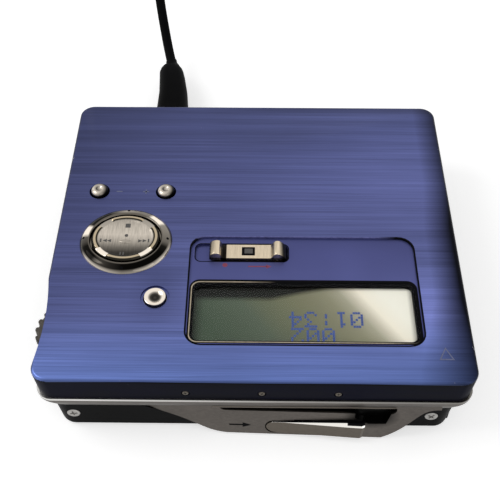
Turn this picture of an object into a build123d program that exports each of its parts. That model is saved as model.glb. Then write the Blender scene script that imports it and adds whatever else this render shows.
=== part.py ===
from build123d import *
from math import atan2, cos, degrees, pi, radians, sin, sqrt, tan
import os

os.makedirs("parts", exist_ok=True)

# A pocket minidisc recorder, lying closed on its base.
# +X runs along the width, -Y is the open side with the release knob, +Y is the hinge and socket side,
# +Z is up and z = 0 is the surface it rests on. All sizes are in millimetres.

# ---------------------------------------------------------------- driving sizes: casing
body_width = 79.0           # over the lid, along X
body_depth = 72.0           # over the lid, along Y
lid_top = 17.1              # top of the lid over the resting surface
corner_radius = 3.0         # lid corners seen from above
lid_sheet = 0.8             # top sheet of the lid
skirt_bottom = 10.8         # lower rim of the lid's skirt
skirt_lean = 0.3            # how far the skirt leans in at its rim
skirt_rim = 0.5             # skirt thickness at its rim
lid_bend = 0.6              # bend radius along the lid's top edge
band_bottom = 8.0           # silver band: its lower edge ...
band_shoulder = 10.2        # ... and where its polished top strip starts
band_side_tuck = 2.2        # how far the band curves in at the sides
band_steps = 6              # facets of that curve
band_front_tuck = 0.5       # and at front and back
cover_floor = 0.8           # bottom cover: floor
cover_side_tuck = 0.8       # bottom cover: how much narrower it is at the base than at the band
cover_base_radius = 1.2
foot_pad_size = (9.0, 3.0, 0.5)
part_gap = 0.3              # air between pieces that move past each other
fit_gap = 0.1               # air round a piece that drops into an opening
running_fit = 0.04          # radial play of a shaft or pin in its bore

# ---------------------------------------------------------------- driving sizes: disc and holder
cart_width = 72.0
cart_depth = 68.0
cart_thickness = 5.0
cart_side_play = 0.2
cart_height_play = 0.3
cart_setback = 1.7          # rear edge of the cartridge in from the back of the lid
holder_sheet = 0.35
holder_bottom = 7.2         # underside of the closed disc holder
holder_rail = 5.0           # width of the ledges that carry the cartridge

# ---------------------------------------------------------------- driving sizes: hinge
hinge_setback = 2.6         # hinge axis in from the back of the lid
hinge_height = 10.4
hinge_pin_radius = 0.5
hinge_ear_radius = 1.3
hinge_ear_thickness = 0.75
hinge_ear_gap = 0.15
rear_rim_lift = 2.1         # the skirt is this much shorter along the hinge
rear_band_drop = 0.3        # the band is this much lower along the hinge

# ---------------------------------------------------------------- driving sizes: lid controls
volume_x = (-32.3, -18.6)
volume_y = 9.35
volume_radius = 1.775
volume_hole_radius = 2.1
volume_rise = 1.3
pad_centre = (-25.5, -4.1)
pad_radii = (6.05, 5.65)
pad_rise = 1.15
pad_ridge_width = 0.9
pad_ridge_height = 0.3
ring_radii = (9.1, 8.25)
ring_rise = 1.15
ring_wall = 0.5
group_centre = (-18.7, -17.8)
group_radius = 2.1
group_rise = 0.35
key_travel = 0.4
key_flange = 0.7            # flange thickness of a key under the lid sheet
jog_centre = (-33.9, -24.5)
jog_radius = 6.3
jog_teeth = 20
jog_tooth_depth = 0.55
jog_thickness = 1.8
jog_pin_radius = 1.2
scallop_y = (-33.5, -12.7)
scallop_depth = 1.0
skirt_screw_x = (-12.2, 1.4, 15.0)
skirt_screw_z = 12.8
skirt_screw_head = 0.75

# ---------------------------------------------------------------- driving sizes: display
bezel_x = (-12.7, 30.9)
bezel_y = (-28.2, -2.7)
bezel_radius = 3.0
bezel_sink = 0.4            # bezel face below the lid's top
bezel_thickness = 0.8
bezel_flange = 0.8
window_x = (-12.1, 30.2)
window_y = (-27.7, -13.8)
window_radius = 1.6
window_thickness = 0.55
window_ledge = 0.6
lcd_thickness = 0.9
rec_track_x = (-11.8, 6.5)
rec_track_y = (-8.8, -4.2)
rec_track_depth = 0.45
rec_knob_x = (-8.9, 6.3)
rec_knob_width = 3.8
rec_plate_rise = 0.25       # flat middle of the knob over the lid's top
rec_bump_rise = 0.95
rec_travel = 2.7
rec_stem_x = (-3.5, 1.5)
rec_stem_y = (-7.2, -5.8)

# ---------------------------------------------------------------- driving sizes: front housing
housing_lean = 11.0         # degrees the front face leans out towards its foot
housing_turn = 1.2          # degrees it turns out towards the knob's high end
housing_face_y = -36.45     # face at x = 9 and z = 3.4
housing_foot_z = 0.2
groove_x = (-6.4, 26.0)
groove_z = 6.6              # ledge under the groove
groove_height = 2.4
knob_heel = (-4.9, -2.45)   # lower end of the knob's round left end, on the housing's face
knob_tip = (11.4, 1.45)     # its upper right corner
knob_height = 2.95          # at the round end
knob_proud = 1.4
knob_gap = 0.2
knob_depth = 1.25
knob_travel = 3.0
stem_x = (7.5, 11.5)
stem_z = (3.0, 4.4)
foot_screw_x = (-33.4, 32.7)
foot_screw_z = 4.6
latch_sheet = 0.35
hook_x = (-26.0, 26.0)
hook_leg = 1.0
hook_toe = 2.6

# ---------------------------------------------------------------- driving sizes: drive and power
battery_length = 67.0
battery_width = 17.0
battery_thickness = 6.0
deck_sheet = 0.6
deck_height = 1.2           # underside of the steel deck and of the main board
board_thickness = 0.8
motor_radius = 9.4
motor_height = 3.6
rotor_radius = 8.2
hub_radius = 5.4
hub_boss_radius = 3.0
spindle_radius = 0.75
sled_start = 11.4           # inner face of the pickup sled from the spindle
sled_length = 9.2
sled_travel = 13.5
rod_radius = 1.0
rod_spacing = 21.0          # between the two guide rods
rod_height = 3.7
screw_radius = 1.0
screw_offset = 3.0          # lead screw from the guide rod beside it
gear_module = 0.3
screw_gear_teeth = 14
pinion_teeth = 10
jack_radius = 1.78          # 3.5 mm socket
jack_body = 5.0
headphone_x = -20.0
line_in_x = -6.0
power_x = 8.0
jack_height = 4.5
board_screw_radius = 0.6

# ---------------------------------------------------------------- driving sizes: lead
cord_radius = 1.2
lead_route = ((-22.1, 66.0, 5.0), (-23.2, 70.4, 6.2), (-24.3, 75.2, 9.0), (-25.2, 78.9, 12.4), (-25.9, 82.0, 17.0),
              (-26.9, 87.5, 21.8), (-28.9, 95.5, 24.6), (-31.4, 104.0, 24.0), (-33.8, 112.0, 19.6),
              (-35.9, 118.6, 12.9), (-37.5, 124.4, 6.2), (-39.1, 131.3, 2.4), (-40.1, 138.5, 1.4),
              (-40.4, 145.0, 2.4))
tail_route = ((-13.9, 146.0, 2.6), (-13.9, 141.5, 1.7), (-13.7, 137.2, 3.1), (-13.6, 133.4, 3.1))
coil_centre = (-27.0, 150.0, 5.4)
coil_radius = 13.3
bundle_radius = 4.7
tie_width = 4.0
far_plug_radius = 3.0

# ---------------------------------------------------------------- places worked out from the sizes
half_w = body_width / 2
half_d = body_depth / 2
lid_under = lid_top - lid_sheet
lid_inner_w = half_w - skirt_lean - skirt_rim
lid_inner_d = half_d - skirt_lean - skirt_rim
hinge_y = half_d - hinge_setback
cart_rear = half_d - cart_setback
cart_front = cart_rear - cart_depth
cavity_half = cart_width / 2 + cart_side_play
holder_half = cavity_half + holder_sheet
holder_front = cart_front - cart_side_play
holder_rear = cart_rear + fit_gap + holder_sheet
cavity_bottom = holder_bottom + holder_sheet
cavity_top = cavity_bottom + cart_thickness + cart_height_play
holder_top = cavity_top + holder_sheet
shell_half = holder_half + part_gap                 # inside of the band and of the lid frame's sides
shell_rear = holder_rear + part_gap
frame_half_w = lid_inner_w - fit_gap
frame_half_d = lid_inner_d - fit_gap
front_wall_in = holder_front - 2 * part_gap - fit_gap
frame_floor = holder_top + part_gap
frame_floor_top = frame_floor + 0.6
board_bottom = frame_floor_top + 0.05
board_top = board_bottom + 0.6
dome_height = 0.15
key_top = lid_under - 0.05                          # flange of a key under the sheet
key_bottom = key_top - key_flange
rear_step = hinge_y - 1.8                           # where the skirt's rim steps up
arm_in = shell_half
arm_out = arm_in + hinge_ear_thickness
ear_in = arm_out + hinge_ear_gap
ear_out = ear_in + hinge_ear_thickness
band_inner_front = -half_d + 0.7
cover_half_w = half_w - band_side_tuck - fit_gap
cover_half_d = half_d - band_front_tuck - fit_gap
cover_inner_w = cover_half_w - cover_side_tuck - 0.6
cover_inner_d = cover_half_d - 0.6
battery_front = holder_front + 0.7
battery_rear = battery_front + battery_width
battery_base = cover_floor + 0.05
battery_left = -cover_inner_w + 1.6
deck_top = deck_height + deck_sheet
deck_front = battery_rear + 2.2
deck_left = -motor_radius - 1.4
latch_rear = holder_front - 0.25
latch_front = latch_rear - latch_sheet
housing_inside = latch_front - fit_gap
lug_rear = latch_front + 0.2
hook_z = (band_bottom + 0.6, band_bottom + 1.3)
base_screw_places = ((-33.0, 31.5), (33.0, 31.5), (-33.0, deck_front + 3.0), (33.5, deck_front + 2.0))
foot_pad_places = ((-27.0, -30.5), (27.0, -30.5), (-27.0, 26.0), (27.0, 26.0))


def bend_radii(route):
    """One bend radius for each corner of a cord's route, as large as its two runs allow."""
    points = [Vector(*point) for point in route]
    runs = [b - a for a, b in zip(points, points[1:])]
    return [0.45 * min(before.length, after.length) / tan(radians(before.get_angle(after)) / 2)
            for before, after in zip(runs, runs[1:])]


lead_start = (Vector(*lead_route[1]) - Vector(*lead_route[0])).normalized()


def save(piece, label):
    """Name a finished piece and write it as its own file."""
    piece.part.label = label
    export_step(piece.part, f"parts/{label}.step")


def middle(span):
    return (span[0] + span[1]) / 2


def length(span):
    return span[1] - span[0]


def above(z, x=0.0, y=0.0):
    """Level plane at height z with its origin at x, y."""
    return Plane.XY.offset(z).move(Location((x, y, 0)))


def facing_front(y, x=0.0, z=0.0):
    """Upright plane at depth y; its own axes are X and Z, and its normal points to the front."""
    return Plane(origin=(x, y, z), x_dir=(1, 0, 0), z_dir=(0, -1, 0))


def facing_right(x, y=0.0, z=0.0):
    """Upright plane at x; its own axes are Y and Z, and its normal points to +X."""
    return Plane(origin=(x, y, z), x_dir=(0, 1, 0), z_dir=(1, 0, 0))


def block(x, y, z, mode=Mode.ADD):
    """Box between two X, two Y and two Z values."""
    with BuildSketch(above(z[0], middle(x), middle(y))) as profile:
        Rectangle(length(x), length(y))
    extrude(profile.sketch, amount=length(z), mode=mode)


def rounded_block(x, y, z, radius, mode=Mode.ADD):
    """The same with its upright edges rounded."""
    with BuildSketch(above(z[0], middle(x), middle(y))) as profile:
        RectangleRounded(length(x), length(y), radius)
    extrude(profile.sketch, amount=length(z), mode=mode)


def disc(centre, radius, z, mode=Mode.ADD):
    """Upright cylinder from z[0] to z[1]."""
    with BuildSketch(above(z[0], *centre)) as profile:
        Circle(radius)
    extrude(profile.sketch, amount=length(z), mode=mode)


def oval(centre, radii, z, mode=Mode.ADD):
    """Upright elliptical cylinder."""
    with BuildSketch(above(z[0], *centre)) as profile:
        Ellipse(*radii)
    extrude(profile.sketch, amount=length(z), mode=mode)


def rod_y(x, z, radius, y, mode=Mode.ADD):
    """Cylinder along Y between two Y values."""
    with BuildSketch(facing_front(y[1], x, z)) as profile:
        Circle(radius)
    extrude(profile.sketch, amount=length(y), mode=mode)


def rod_x(y, z, radius, x, mode=Mode.ADD):
    """Cylinder along X between two X values."""
    with BuildSketch(facing_right(x[0], y, z)) as profile:
        Circle(radius)
    extrude(profile.sketch, amount=length(x), mode=mode)


# ================================================================ lid: sheet, frame and screws
with BuildPart() as lid_panel:
    with BuildSketch(above(skirt_bottom)):
        RectangleRounded(body_width - 2 * skirt_lean, body_depth - 2 * skirt_lean, corner_radius)
    with BuildSketch(above(lid_top)):
        RectangleRounded(body_width, body_depth, corner_radius)
    loft(ruled=True)
    fillet(lid_panel.edges().group_by(Axis.Z)[-1], lid_bend)
    rounded_block((-lid_inner_w, lid_inner_w), (-lid_inner_d, lid_inner_d), (skirt_bottom, lid_under),
                  corner_radius - lid_sheet, Mode.SUBTRACT)
    # the rim is shorter round the hinge
    block((-half_w, half_w), (rear_step, half_d), (skirt_bottom, skirt_bottom + rear_rim_lift), Mode.SUBTRACT)
    # shallow scallop in the left edge, where the jog dial comes out
    scallop_half = length(scallop_y) / 2
    scallop_radius = (scallop_half ** 2 + scallop_depth ** 2) / (2 * scallop_depth)
    disc((-half_w + scallop_depth - scallop_radius, middle(scallop_y)), scallop_radius,
         (skirt_bottom, lid_top), Mode.SUBTRACT)
    for x in volume_x:
        disc((x, volume_y), volume_hole_radius, (lid_under, lid_top), Mode.SUBTRACT)
    oval(pad_centre, (pad_radii[0] + 2 * ring_wall - 0.1, pad_radii[1] + 2 * ring_wall - 0.1),
         (lid_under, lid_top), Mode.SUBTRACT)
    disc(group_centre, group_radius + 0.15, (lid_under, lid_top), Mode.SUBTRACT)
    disc(group_centre, group_radius + 0.65, (lid_top - 0.3, lid_top), Mode.SUBTRACT)
    rounded_block(bezel_x, bezel_y, (lid_under, lid_top), bezel_radius, Mode.SUBTRACT)
    disc(jog_centre, jog_radius + part_gap, (frame_floor_top, lid_under), Mode.SUBTRACT)
    for x in skirt_screw_x:
        rod_y(x, skirt_screw_z, 0.45, (-half_d, -lid_inner_d), Mode.SUBTRACT)
        rod_y(x, skirt_screw_z, skirt_screw_head + 0.05, (-half_d, -half_d + 0.5), Mode.SUBTRACT)
save(lid_panel, "lid_panel")

lcd_x = (window_x[0] + window_ledge, window_x[1] - window_ledge)
lcd_y = (window_y[0] + window_ledge, window_y[1] - window_ledge)
bezel_top = lid_top - bezel_sink
bezel_bottom = bezel_top - bezel_thickness
lcd_top = bezel_bottom - 0.05
lens_x = sled_start + sled_length / 2
carriage_x = (lens_x - 4.9, lens_x + 2.7)
head_window = (carriage_x[0] - 0.8, carriage_x[1] + sled_travel + 0.8)
head_half = 3.9             # half width of the window over the head's path
head_rail_half = 5.4

with BuildPart() as lid_frame:
    rounded_block((-frame_half_w, frame_half_w), (-frame_half_d, frame_half_d), (frame_floor, lid_under - 0.05),
                  corner_radius - lid_sheet - fit_gap)
    rounded_block((-frame_half_w + 1.3, frame_half_w - 1.3), (-frame_half_d + 1.3, frame_half_d - 1.3),
                  (frame_floor_top, lid_under), 1.0, Mode.SUBTRACT)
    # side walls down beside the disc holder, and the front wall in front of it
    for side in (-1, 1):
        block(sorted((side * shell_half, side * frame_half_w)), (-frame_half_d + 2, rear_step - 0.2),
              (skirt_bottom + 0.2, frame_floor))
    block((-frame_half_w + 2, frame_half_w - 2), (-frame_half_d, front_wall_in),
          (skirt_bottom + 0.2, frame_floor))
    # hinge arms
    for side in (-1, 1):
        arm_x = sorted((side * arm_in, side * arm_out))
        with BuildSketch(facing_right(arm_x[0], hinge_y, hinge_height)):
            Circle(hinge_ear_radius)
            with Locations((0, (frame_floor - hinge_height) / 2)):
                Rectangle(2 * hinge_ear_radius, frame_floor - hinge_height)
            Circle(hinge_pin_radius + running_fit, mode=Mode.SUBTRACT)
        extrude(amount=hinge_ear_thickness)
    # ribs that carry the display glass
    rounded_block((lcd_x[0] - 1, lcd_x[1] + 1), (lcd_y[0] - 1, lcd_y[1] + 1),
                  (frame_floor_top, lcd_top - lcd_thickness), 0.8)
    block((lcd_x[0] + 1.5, lcd_x[1] - 1.5), (lcd_y[0] + 1.5, lcd_y[1] - 1.5),
          (frame_floor_top, lcd_top), Mode.SUBTRACT)
    # windows: over the recording head's path, and one in the rear half to save weight
    block((head_window[0] - part_gap, head_window[1] + part_gap), (-head_rail_half - part_gap, head_rail_half + part_gap),
          (frame_floor, frame_floor_top), Mode.SUBTRACT)
    rounded_block((-8, 30), (12, 28), (frame_floor, frame_floor_top), 2.0, Mode.SUBTRACT)
    # room for the jog dial, which comes out through the left wall
    disc(jog_centre, jog_radius + part_gap, (frame_floor_top, lid_under), Mode.SUBTRACT)
    disc(jog_centre, jog_pin_radius, (frame_floor, frame_floor_top), Mode.SUBTRACT)
    for x in skirt_screw_x:
        rod_y(x, skirt_screw_z, 0.45, (-frame_half_d, front_wall_in), Mode.SUBTRACT)
    # two hooks that hang into the band, each with a toe for the latch
    for x in hook_x:
        with BuildSketch(facing_front(front_wall_in)):
            with BuildLine():
                Polyline((x, skirt_bottom + 0.3), (x, hook_z[0]), (x + hook_toe, hook_z[0]),
                         (x + hook_toe, hook_z[1]), (x + hook_leg, hook_z[1]),
                         (x + hook_leg, skirt_bottom + 0.3), close=True)
            make_face()
        extrude(amount=front_wall_in + frame_half_d)
save(lid_frame, "lid_frame")


with BuildPart() as skirt_screws:
    for x in skirt_screw_x:
        rod_y(x, skirt_screw_z, skirt_screw_head, (-half_d + 0.08, -half_d + 0.5))
        rod_y(x, skirt_screw_z, 0.45, (-half_d + 0.5, front_wall_in))
        with BuildSketch(facing_front(-half_d, x, skirt_screw_z)):
            for turn in (0, 90):
                with Locations(Rotation(0, 0, turn)):
                    Rectangle(0.9, 0.22)
        extrude(amount=-0.28, mode=Mode.SUBTRACT)
save(skirt_screws, "skirt_screws")

# ================================================================ lid: display and record switch
with BuildPart() as display_bezel:
    rounded_block((bezel_x[0] + fit_gap, bezel_x[1] - fit_gap), (bezel_y[0] + fit_gap, bezel_y[1] - fit_gap),
                  (bezel_bottom, bezel_top), bezel_radius - fit_gap)
    rounded_block((bezel_x[0] - bezel_flange, bezel_x[1] + bezel_flange),
                  (bezel_y[0] - bezel_flange, bezel_y[1] + bezel_flange),
                  (bezel_bottom, lid_under - 0.05), bezel_radius)
    # opening for the window, with a ledge under it
    rounded_block(window_x, window_y, (bezel_top - window_thickness - 0.05, bezel_top), window_radius,
                  Mode.SUBTRACT)
    rounded_block(lcd_x, lcd_y, (bezel_bottom, bezel_top), window_radius - window_ledge, Mode.SUBTRACT)
    # track of the record knob and the slot for its stem
    rounded_block(rec_track_x, rec_track_y, (bezel_top - rec_track_depth, bezel_top), 1.2, Mode.SUBTRACT)
    rounded_block((rec_stem_x[0] - rec_travel - fit_gap, rec_stem_x[1] + fit_gap),
                  (rec_stem_y[0] - fit_gap, rec_stem_y[1] + fit_gap), (bezel_bottom, bezel_top), 0.5, Mode.SUBTRACT)
save(display_bezel, "display_bezel")

with BuildPart() as lcd_window:
    rounded_block((window_x[0] + fit_gap, window_x[1] - fit_gap), (window_y[0] + fit_gap, window_y[1] - fit_gap),
                  (bezel_top - window_thickness, bezel_top - 0.02), window_radius - fit_gap)
save(lcd_window, "lcd_window")

with BuildPart() as lcd_panel:
    block((lcd_x[0] - 0.6, lcd_x[1] + 0.6), (lcd_y[0] - 0.6, lcd_y[1] + 0.6), (lcd_top - lcd_thickness + 0.05, lcd_top))
save(lcd_panel, "lcd_panel")

with BuildPart() as rec_knob:
    knob_y = (middle(rec_track_y) - rec_knob_width / 2, middle(rec_track_y) + rec_knob_width / 2)
    knob_base = bezel_top - rec_track_depth + 0.05
    plate_top = lid_top + rec_plate_rise
    bump_top = lid_top + rec_bump_rise
    left, right = rec_knob_x
    # side view: a flat plate between two bumps whose outer sides roll down to the track
    with BuildSketch(facing_front(knob_y[1])):
        with BuildLine():
            foot = Line((left + 0.5, knob_base), (right - 0.5, knob_base))
            right_flank = ThreePointArc(foot @ 1, (right - 0.1, plate_top - 0.1), (right - 0.9, bump_top - 0.15))
            right_crest = ThreePointArc(right_flank @ 1, (right - 1.5, bump_top), (right - 2.2, bump_top - 0.25))
            right_root = Line(right_crest @ 1, (right - 2.7, plate_top))
            plate_line = Line(right_root @ 1, (left + 3.0, plate_top))
            left_root = Line(plate_line @ 1, (left + 2.5, bump_top - 0.25))
            left_crest = ThreePointArc(left_root @ 1, (left + 1.7, bump_top), (left + 1.0, bump_top - 0.15))
            ThreePointArc(left_crest @ 1, (left + 0.1, plate_top - 0.1), foot @ 0)
        make_face()
    extrude(amount=rec_knob_width)
    fillet(rec_knob.edges().filter_by(Axis.Y, reverse=True).filter_by(
        lambda edge: edge.center().Z > plate_top + 0.05), 0.15)
    block((-2.7, 0.0), (middle(rec_track_y) - 1.1, middle(rec_track_y) + 1.1), (plate_top - 0.45, plate_top),
          Mode.SUBTRACT)
    block(rec_stem_x, rec_stem_y, (bezel_bottom - 0.05, knob_base))
save(rec_knob, "rec_knob")

with BuildPart() as rec_slider:
    block((rec_stem_x[0] - 2.0, rec_stem_x[1] + 2.0), (rec_stem_y[0] - 1.0, rec_stem_y[1] + 1.0),
          (bezel_bottom - 0.4, bezel_bottom - 0.05))
save(rec_slider, "rec_slider")

# ================================================================ lid: keys, navigation pad and jog dial
with BuildPart() as key_board:
    board_left = -frame_half_w + 1.4
    block((board_left, 8.0), (lcd_y[1] + 1.2, volume_y + 5.0), (board_bottom, board_top))
    block((group_centre[0] - 3.6, group_centre[0] + 3.6), (group_centre[1] - 3.0, lcd_y[1] + 2.0),
          (board_bottom, board_top))
    disc(jog_centre, jog_radius + 2 * part_gap, (board_bottom, board_top), Mode.SUBTRACT)
    # spring domes under the keys and round the pad
    for x in volume_x:
        disc((x, volume_y), 1.2, (board_top, board_top + dome_height))
    disc(group_centre, 1.2, (board_top, board_top + dome_height))
    disc(pad_centre, 1.0, (board_top, board_top + dome_height))
    with BuildSketch(above(board_top, *pad_centre)):
        with PolarLocations(4.6, 4):
            Circle(0.7)
    extrude(amount=dome_height)
save(key_board, "key_board")


def domed_key(centre, radius, top):
    """Round key with a flange under the sheet, a rounded crown and a finger dimple."""
    disc(centre, radius + 0.7, (key_bottom, key_top))
    disc(centre, radius, (key_top, top))


for label, x in zip(("vol_minus_button", "vol_plus_button"), volume_x):
    with BuildPart() as volume_button:
        domed_key((x, volume_y), volume_radius, lid_top + volume_rise)
        fillet(volume_button.edges().group_by(Axis.Z)[-1], 0.8)
        with BuildSketch(above(lid_top + volume_rise - 0.25, x, volume_y)):
            Circle(0.45)
        extrude(amount=0.5, mode=Mode.SUBTRACT)
    save(volume_button, label)

with BuildPart() as group_button:
    domed_key(group_centre, group_radius, lid_top + group_rise)
    fillet(group_button.edges().group_by(Axis.Z)[-1], 0.3)
    dish = 2.2
    with Locations((*group_centre, lid_top + group_rise + dish - 0.55)):
        Sphere(dish, mode=Mode.SUBTRACT)
save(group_button, "group_button")

ring_inner = (pad_radii[0] + part_gap, pad_radii[1] + part_gap)
with BuildPart() as nav_ring:
    # convex dish from the lid up to the pad's rim
    for rise, share in ((0.0, 0.0), (0.55, 0.22), (0.95, 0.58), (1.0, 1.0)):
        with BuildSketch(above(lid_top + rise * ring_rise, *pad_centre)):
            Ellipse(*(outer + (inner + ring_wall - outer) * share for outer, inner in zip(ring_radii, ring_inner)))
    loft()
    oval(pad_centre, (ring_inner[0] + ring_wall, ring_inner[1] + ring_wall), (lid_under, lid_top))
    oval(pad_centre, ring_inner, (lid_under, lid_top + ring_rise + 1), Mode.SUBTRACT)
save(nav_ring, "nav_ring")

pad_top = lid_top + pad_rise
pad_pivot_z = key_bottom + 0.35
pad_well = 3.6                  # hollow under the pad for its gimbal
gimbal_radii = (2.1, 3.1)
stem_radius = 1.6
pivot_pin_radius = 0.3
pivot_height = (key_bottom, key_top)
with BuildPart() as nav_pad:
    oval(pad_centre, pad_radii, (pivot_height[0], pad_top))
    dish_radius = 60.0
    with Locations((*pad_centre, pad_top + dish_radius - 0.3)):
        Sphere(dish_radius, mode=Mode.SUBTRACT)
    # four raised ridges along the rim
    with BuildSketch(above(pad_top - 0.25, *pad_centre)):
        Ellipse(pad_radii[0] - 0.1, pad_radii[1] - 0.1)
        Ellipse(pad_radii[0] - 0.1 - pad_ridge_width, pad_radii[1] - 0.1 - pad_ridge_width, mode=Mode.SUBTRACT)
        with BuildSketch(mode=Mode.PRIVATE) as diagonals:
            for turn in (45, 135):
                with Locations(Rotation(0, 0, turn)):
                    Rectangle(20, 2.6)
        add(diagonals.sketch, mode=Mode.SUBTRACT)
    extrude(amount=0.25 + pad_ridge_height)
    disc(pad_centre, pad_well, (pivot_height[0], key_top + 0.4), Mode.SUBTRACT)
    rod_y(pad_centre[0], pad_pivot_z, pivot_pin_radius + running_fit,
          (pad_centre[1] - pad_radii[1], pad_centre[1] + pad_radii[1]), Mode.SUBTRACT)
save(nav_pad, "nav_pad")

with BuildPart() as nav_gimbal:
    disc(pad_centre, gimbal_radii[1], (pad_pivot_z - 0.33, pad_pivot_z + 0.33))
    disc(pad_centre, gimbal_radii[0], (pad_pivot_z - 0.33, pad_pivot_z + 0.33), Mode.SUBTRACT)
    rod_x(pad_centre[1], pad_pivot_z, pivot_pin_radius - 0.1 + running_fit,
          (pad_centre[0] - gimbal_radii[1], pad_centre[0] + gimbal_radii[1]), Mode.SUBTRACT)
    for side in (-1, 1):
        rod_y(pad_centre[0], pad_pivot_z, pivot_pin_radius,
              sorted((pad_centre[1] + side * (gimbal_radii[1] - 0.2), pad_centre[1] + side * (pad_radii[1] - 0.5))))
save(nav_gimbal, "nav_gimbal")

with BuildPart() as nav_stem:
    disc(pad_centre, stem_radius, (key_bottom, pad_pivot_z + 0.4))
    rod_x(pad_centre[1], pad_pivot_z, pivot_pin_radius - 0.1,
          (pad_centre[0] - gimbal_radii[1] + 0.05, pad_centre[0] + gimbal_radii[1] - 0.05))
save(nav_stem, "nav_stem")

jog_z = (frame_floor_top + 0.15, frame_floor_top + 0.15 + jog_thickness)
with BuildPart() as jog_dial:
    with BuildSketch(above(jog_z[0], *jog_centre)):
        Circle(jog_radius - jog_tooth_depth)
        with PolarLocations(jog_radius - jog_tooth_depth, jog_teeth):
            Rectangle(2 * jog_tooth_depth, 2 * pi * jog_radius / jog_teeth * 0.52)
        Circle(jog_pin_radius + running_fit, mode=Mode.SUBTRACT)
    extrude(amount=jog_thickness)
save(jog_dial, "jog_dial")

with BuildPart() as jog_pin:
    disc(jog_centre, jog_pin_radius, (frame_floor, jog_z[1] + 0.1))
save(jog_pin, "jog_pin")

# ================================================================ disc holder and recording head
with BuildPart() as disc_holder:
    block((-holder_half, holder_half), (holder_front, holder_rear), (cavity_top, holder_top))
    # windows: one for the recording head, the others save weight
    block(head_window, (-head_half, head_half), (cavity_top, holder_top), Mode.SUBTRACT)
    rounded_block((-30, 4), (-26, 26), (cavity_top, holder_top), 4.0, Mode.SUBTRACT)
    rounded_block((12, 30), (12, 26), (cavity_top, holder_top), 3.0, Mode.SUBTRACT)
save(disc_holder, "disc_holder")

with BuildPart() as holder_sides:
    # an upright cheek on each side, with the ledge that carries the cartridge
    for side in (-1, 1):
        cheek_x = sorted((side * cavity_half, side * holder_half))
        block(cheek_x, (holder_front, holder_rear), (holder_bottom, cavity_top))
        block(sorted((side * (cavity_half - holder_rail), side * cavity_half)), (holder_front, holder_rear),
              (holder_bottom, cavity_bottom))
        rod_x(hinge_y, hinge_height, hinge_pin_radius + running_fit, cheek_x, Mode.SUBTRACT)
save(holder_sides, "holder_sides")

with BuildPart() as holder_bridges:
    # sheets that join the ledges at the mouth and at the back
    for y in ((holder_front, holder_front + 7.0), (holder_rear - 6.0, holder_rear)):
        block((-cavity_half + holder_rail, cavity_half - holder_rail), y, (holder_bottom, cavity_bottom))
save(holder_bridges, "holder_bridges")

with BuildPart() as holder_wall:
    # back wall, the stop that the cartridge is pushed against
    block((-cavity_half, cavity_half), (holder_rear - holder_sheet, holder_rear), (cavity_bottom, cavity_top))
save(holder_wall, "holder_wall")

with BuildPart() as disc_springs:
    # two leaf springs that press the cartridge down onto the rails
    for side in (-1, 1):
        for y in (-20.0, 18.0):
            leaf_x = sorted((side * (cavity_half - 3.4), side * (cavity_half - 1.2)))
            with BuildSketch(facing_right(leaf_x[0])):
                with BuildLine():
                    Polyline((y, cavity_top), (y, cavity_top - 0.15), (y + 2.5, cavity_top - 0.15),
                             (y + 5.0, cavity_top - 0.28), (y + 7.5, cavity_top - 0.15),
                             (y + 7.5, cavity_top - 0.03), (y + 5.0, cavity_top - 0.16),
                             (y + 2.5, cavity_top), close=True)
                make_face()
            extrude(amount=2.2)
save(disc_springs, "disc_springs")


plate_z = (holder_top + 0.05, holder_top + 0.55)
with BuildPart() as head_rails:
    # two lipped rails on the holder's top sheet
    for side in (-1, 1):
        with BuildSketch(facing_right(head_window[0])):
            with BuildLine():
                Polyline(*((side * y, z) for y, z in (
                    (head_rail_half - 0.8, holder_top), (head_rail_half, holder_top),
                    (head_rail_half, plate_z[1] + 0.25), (head_half, plate_z[1] + 0.25),
                    (head_half, plate_z[1] + 0.05), (head_rail_half - 0.8, plate_z[1] + 0.05))), close=True)
            make_face()
        extrude(amount=length(head_window))
save(head_rails, "head_rails")

arm_pivot = (lens_x - 3.6, holder_top + 0.3)
with BuildPart() as head_carriage:
    block(carriage_x, (-head_rail_half + 0.85, head_rail_half - 0.85), plate_z)
    block((arm_pivot[0] - 0.9, carriage_x[1]), (-2.0, 2.0), plate_z, Mode.SUBTRACT)
    rod_y(arm_pivot[0], plate_z[0] + 0.25, 0.2 + running_fit, (-3.0, 3.0), Mode.SUBTRACT)
save(head_carriage, "head_carriage")

with BuildPart() as head_arm:
    block((arm_pivot[0] - 0.6, lens_x + 2.4), (-1.7, 1.7), (plate_z[0] + 0.05, plate_z[1] - 0.05))
    block((lens_x - 1.25, lens_x + 1.25), (-1.2, 1.2), (cavity_top, plate_z[0] + 0.05))
    rod_y(arm_pivot[0], plate_z[0] + 0.25, 0.2, (-2.9, 2.9))
save(head_arm, "head_arm")

# ================================================================ casing: silver band with the front housing
face_plane = Plane(
    origin=(9.0, housing_face_y, 3.4),
    x_dir=(cos(radians(housing_turn)), -sin(radians(housing_turn)), 0),
    z_dir=(-sin(radians(housing_turn)) * cos(radians(housing_lean)),
           -cos(radians(housing_turn)) * cos(radians(housing_lean)), sin(radians(housing_lean))),
)


def apron_outline():
    """Front view of the housing between the two black feet: an S curve on each side down to its foot."""
    with BuildLine() as outline:
        left = Spline((-23, band_bottom + 0.1), (-17.9, 6.45), (-14.1, 4.7), (-10.1, 2.4),
                      (-5.0, housing_foot_z + 0.25), tangents=((1, 0), (1, -0.12)))
        foot = Line(left @ 1, (23.6, housing_foot_z))
        right = Spline(foot @ 1, (28.4, 4.2), (30.9, 7.1), (34.0, band_bottom + 0.1),
                       tangents=((1, 0.5), (1, 0)))
        Polyline(right @ 1, (34.0, band_bottom + 1.2), (-23, band_bottom + 1.2), left @ 0)
    make_face(outline.edges())


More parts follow.
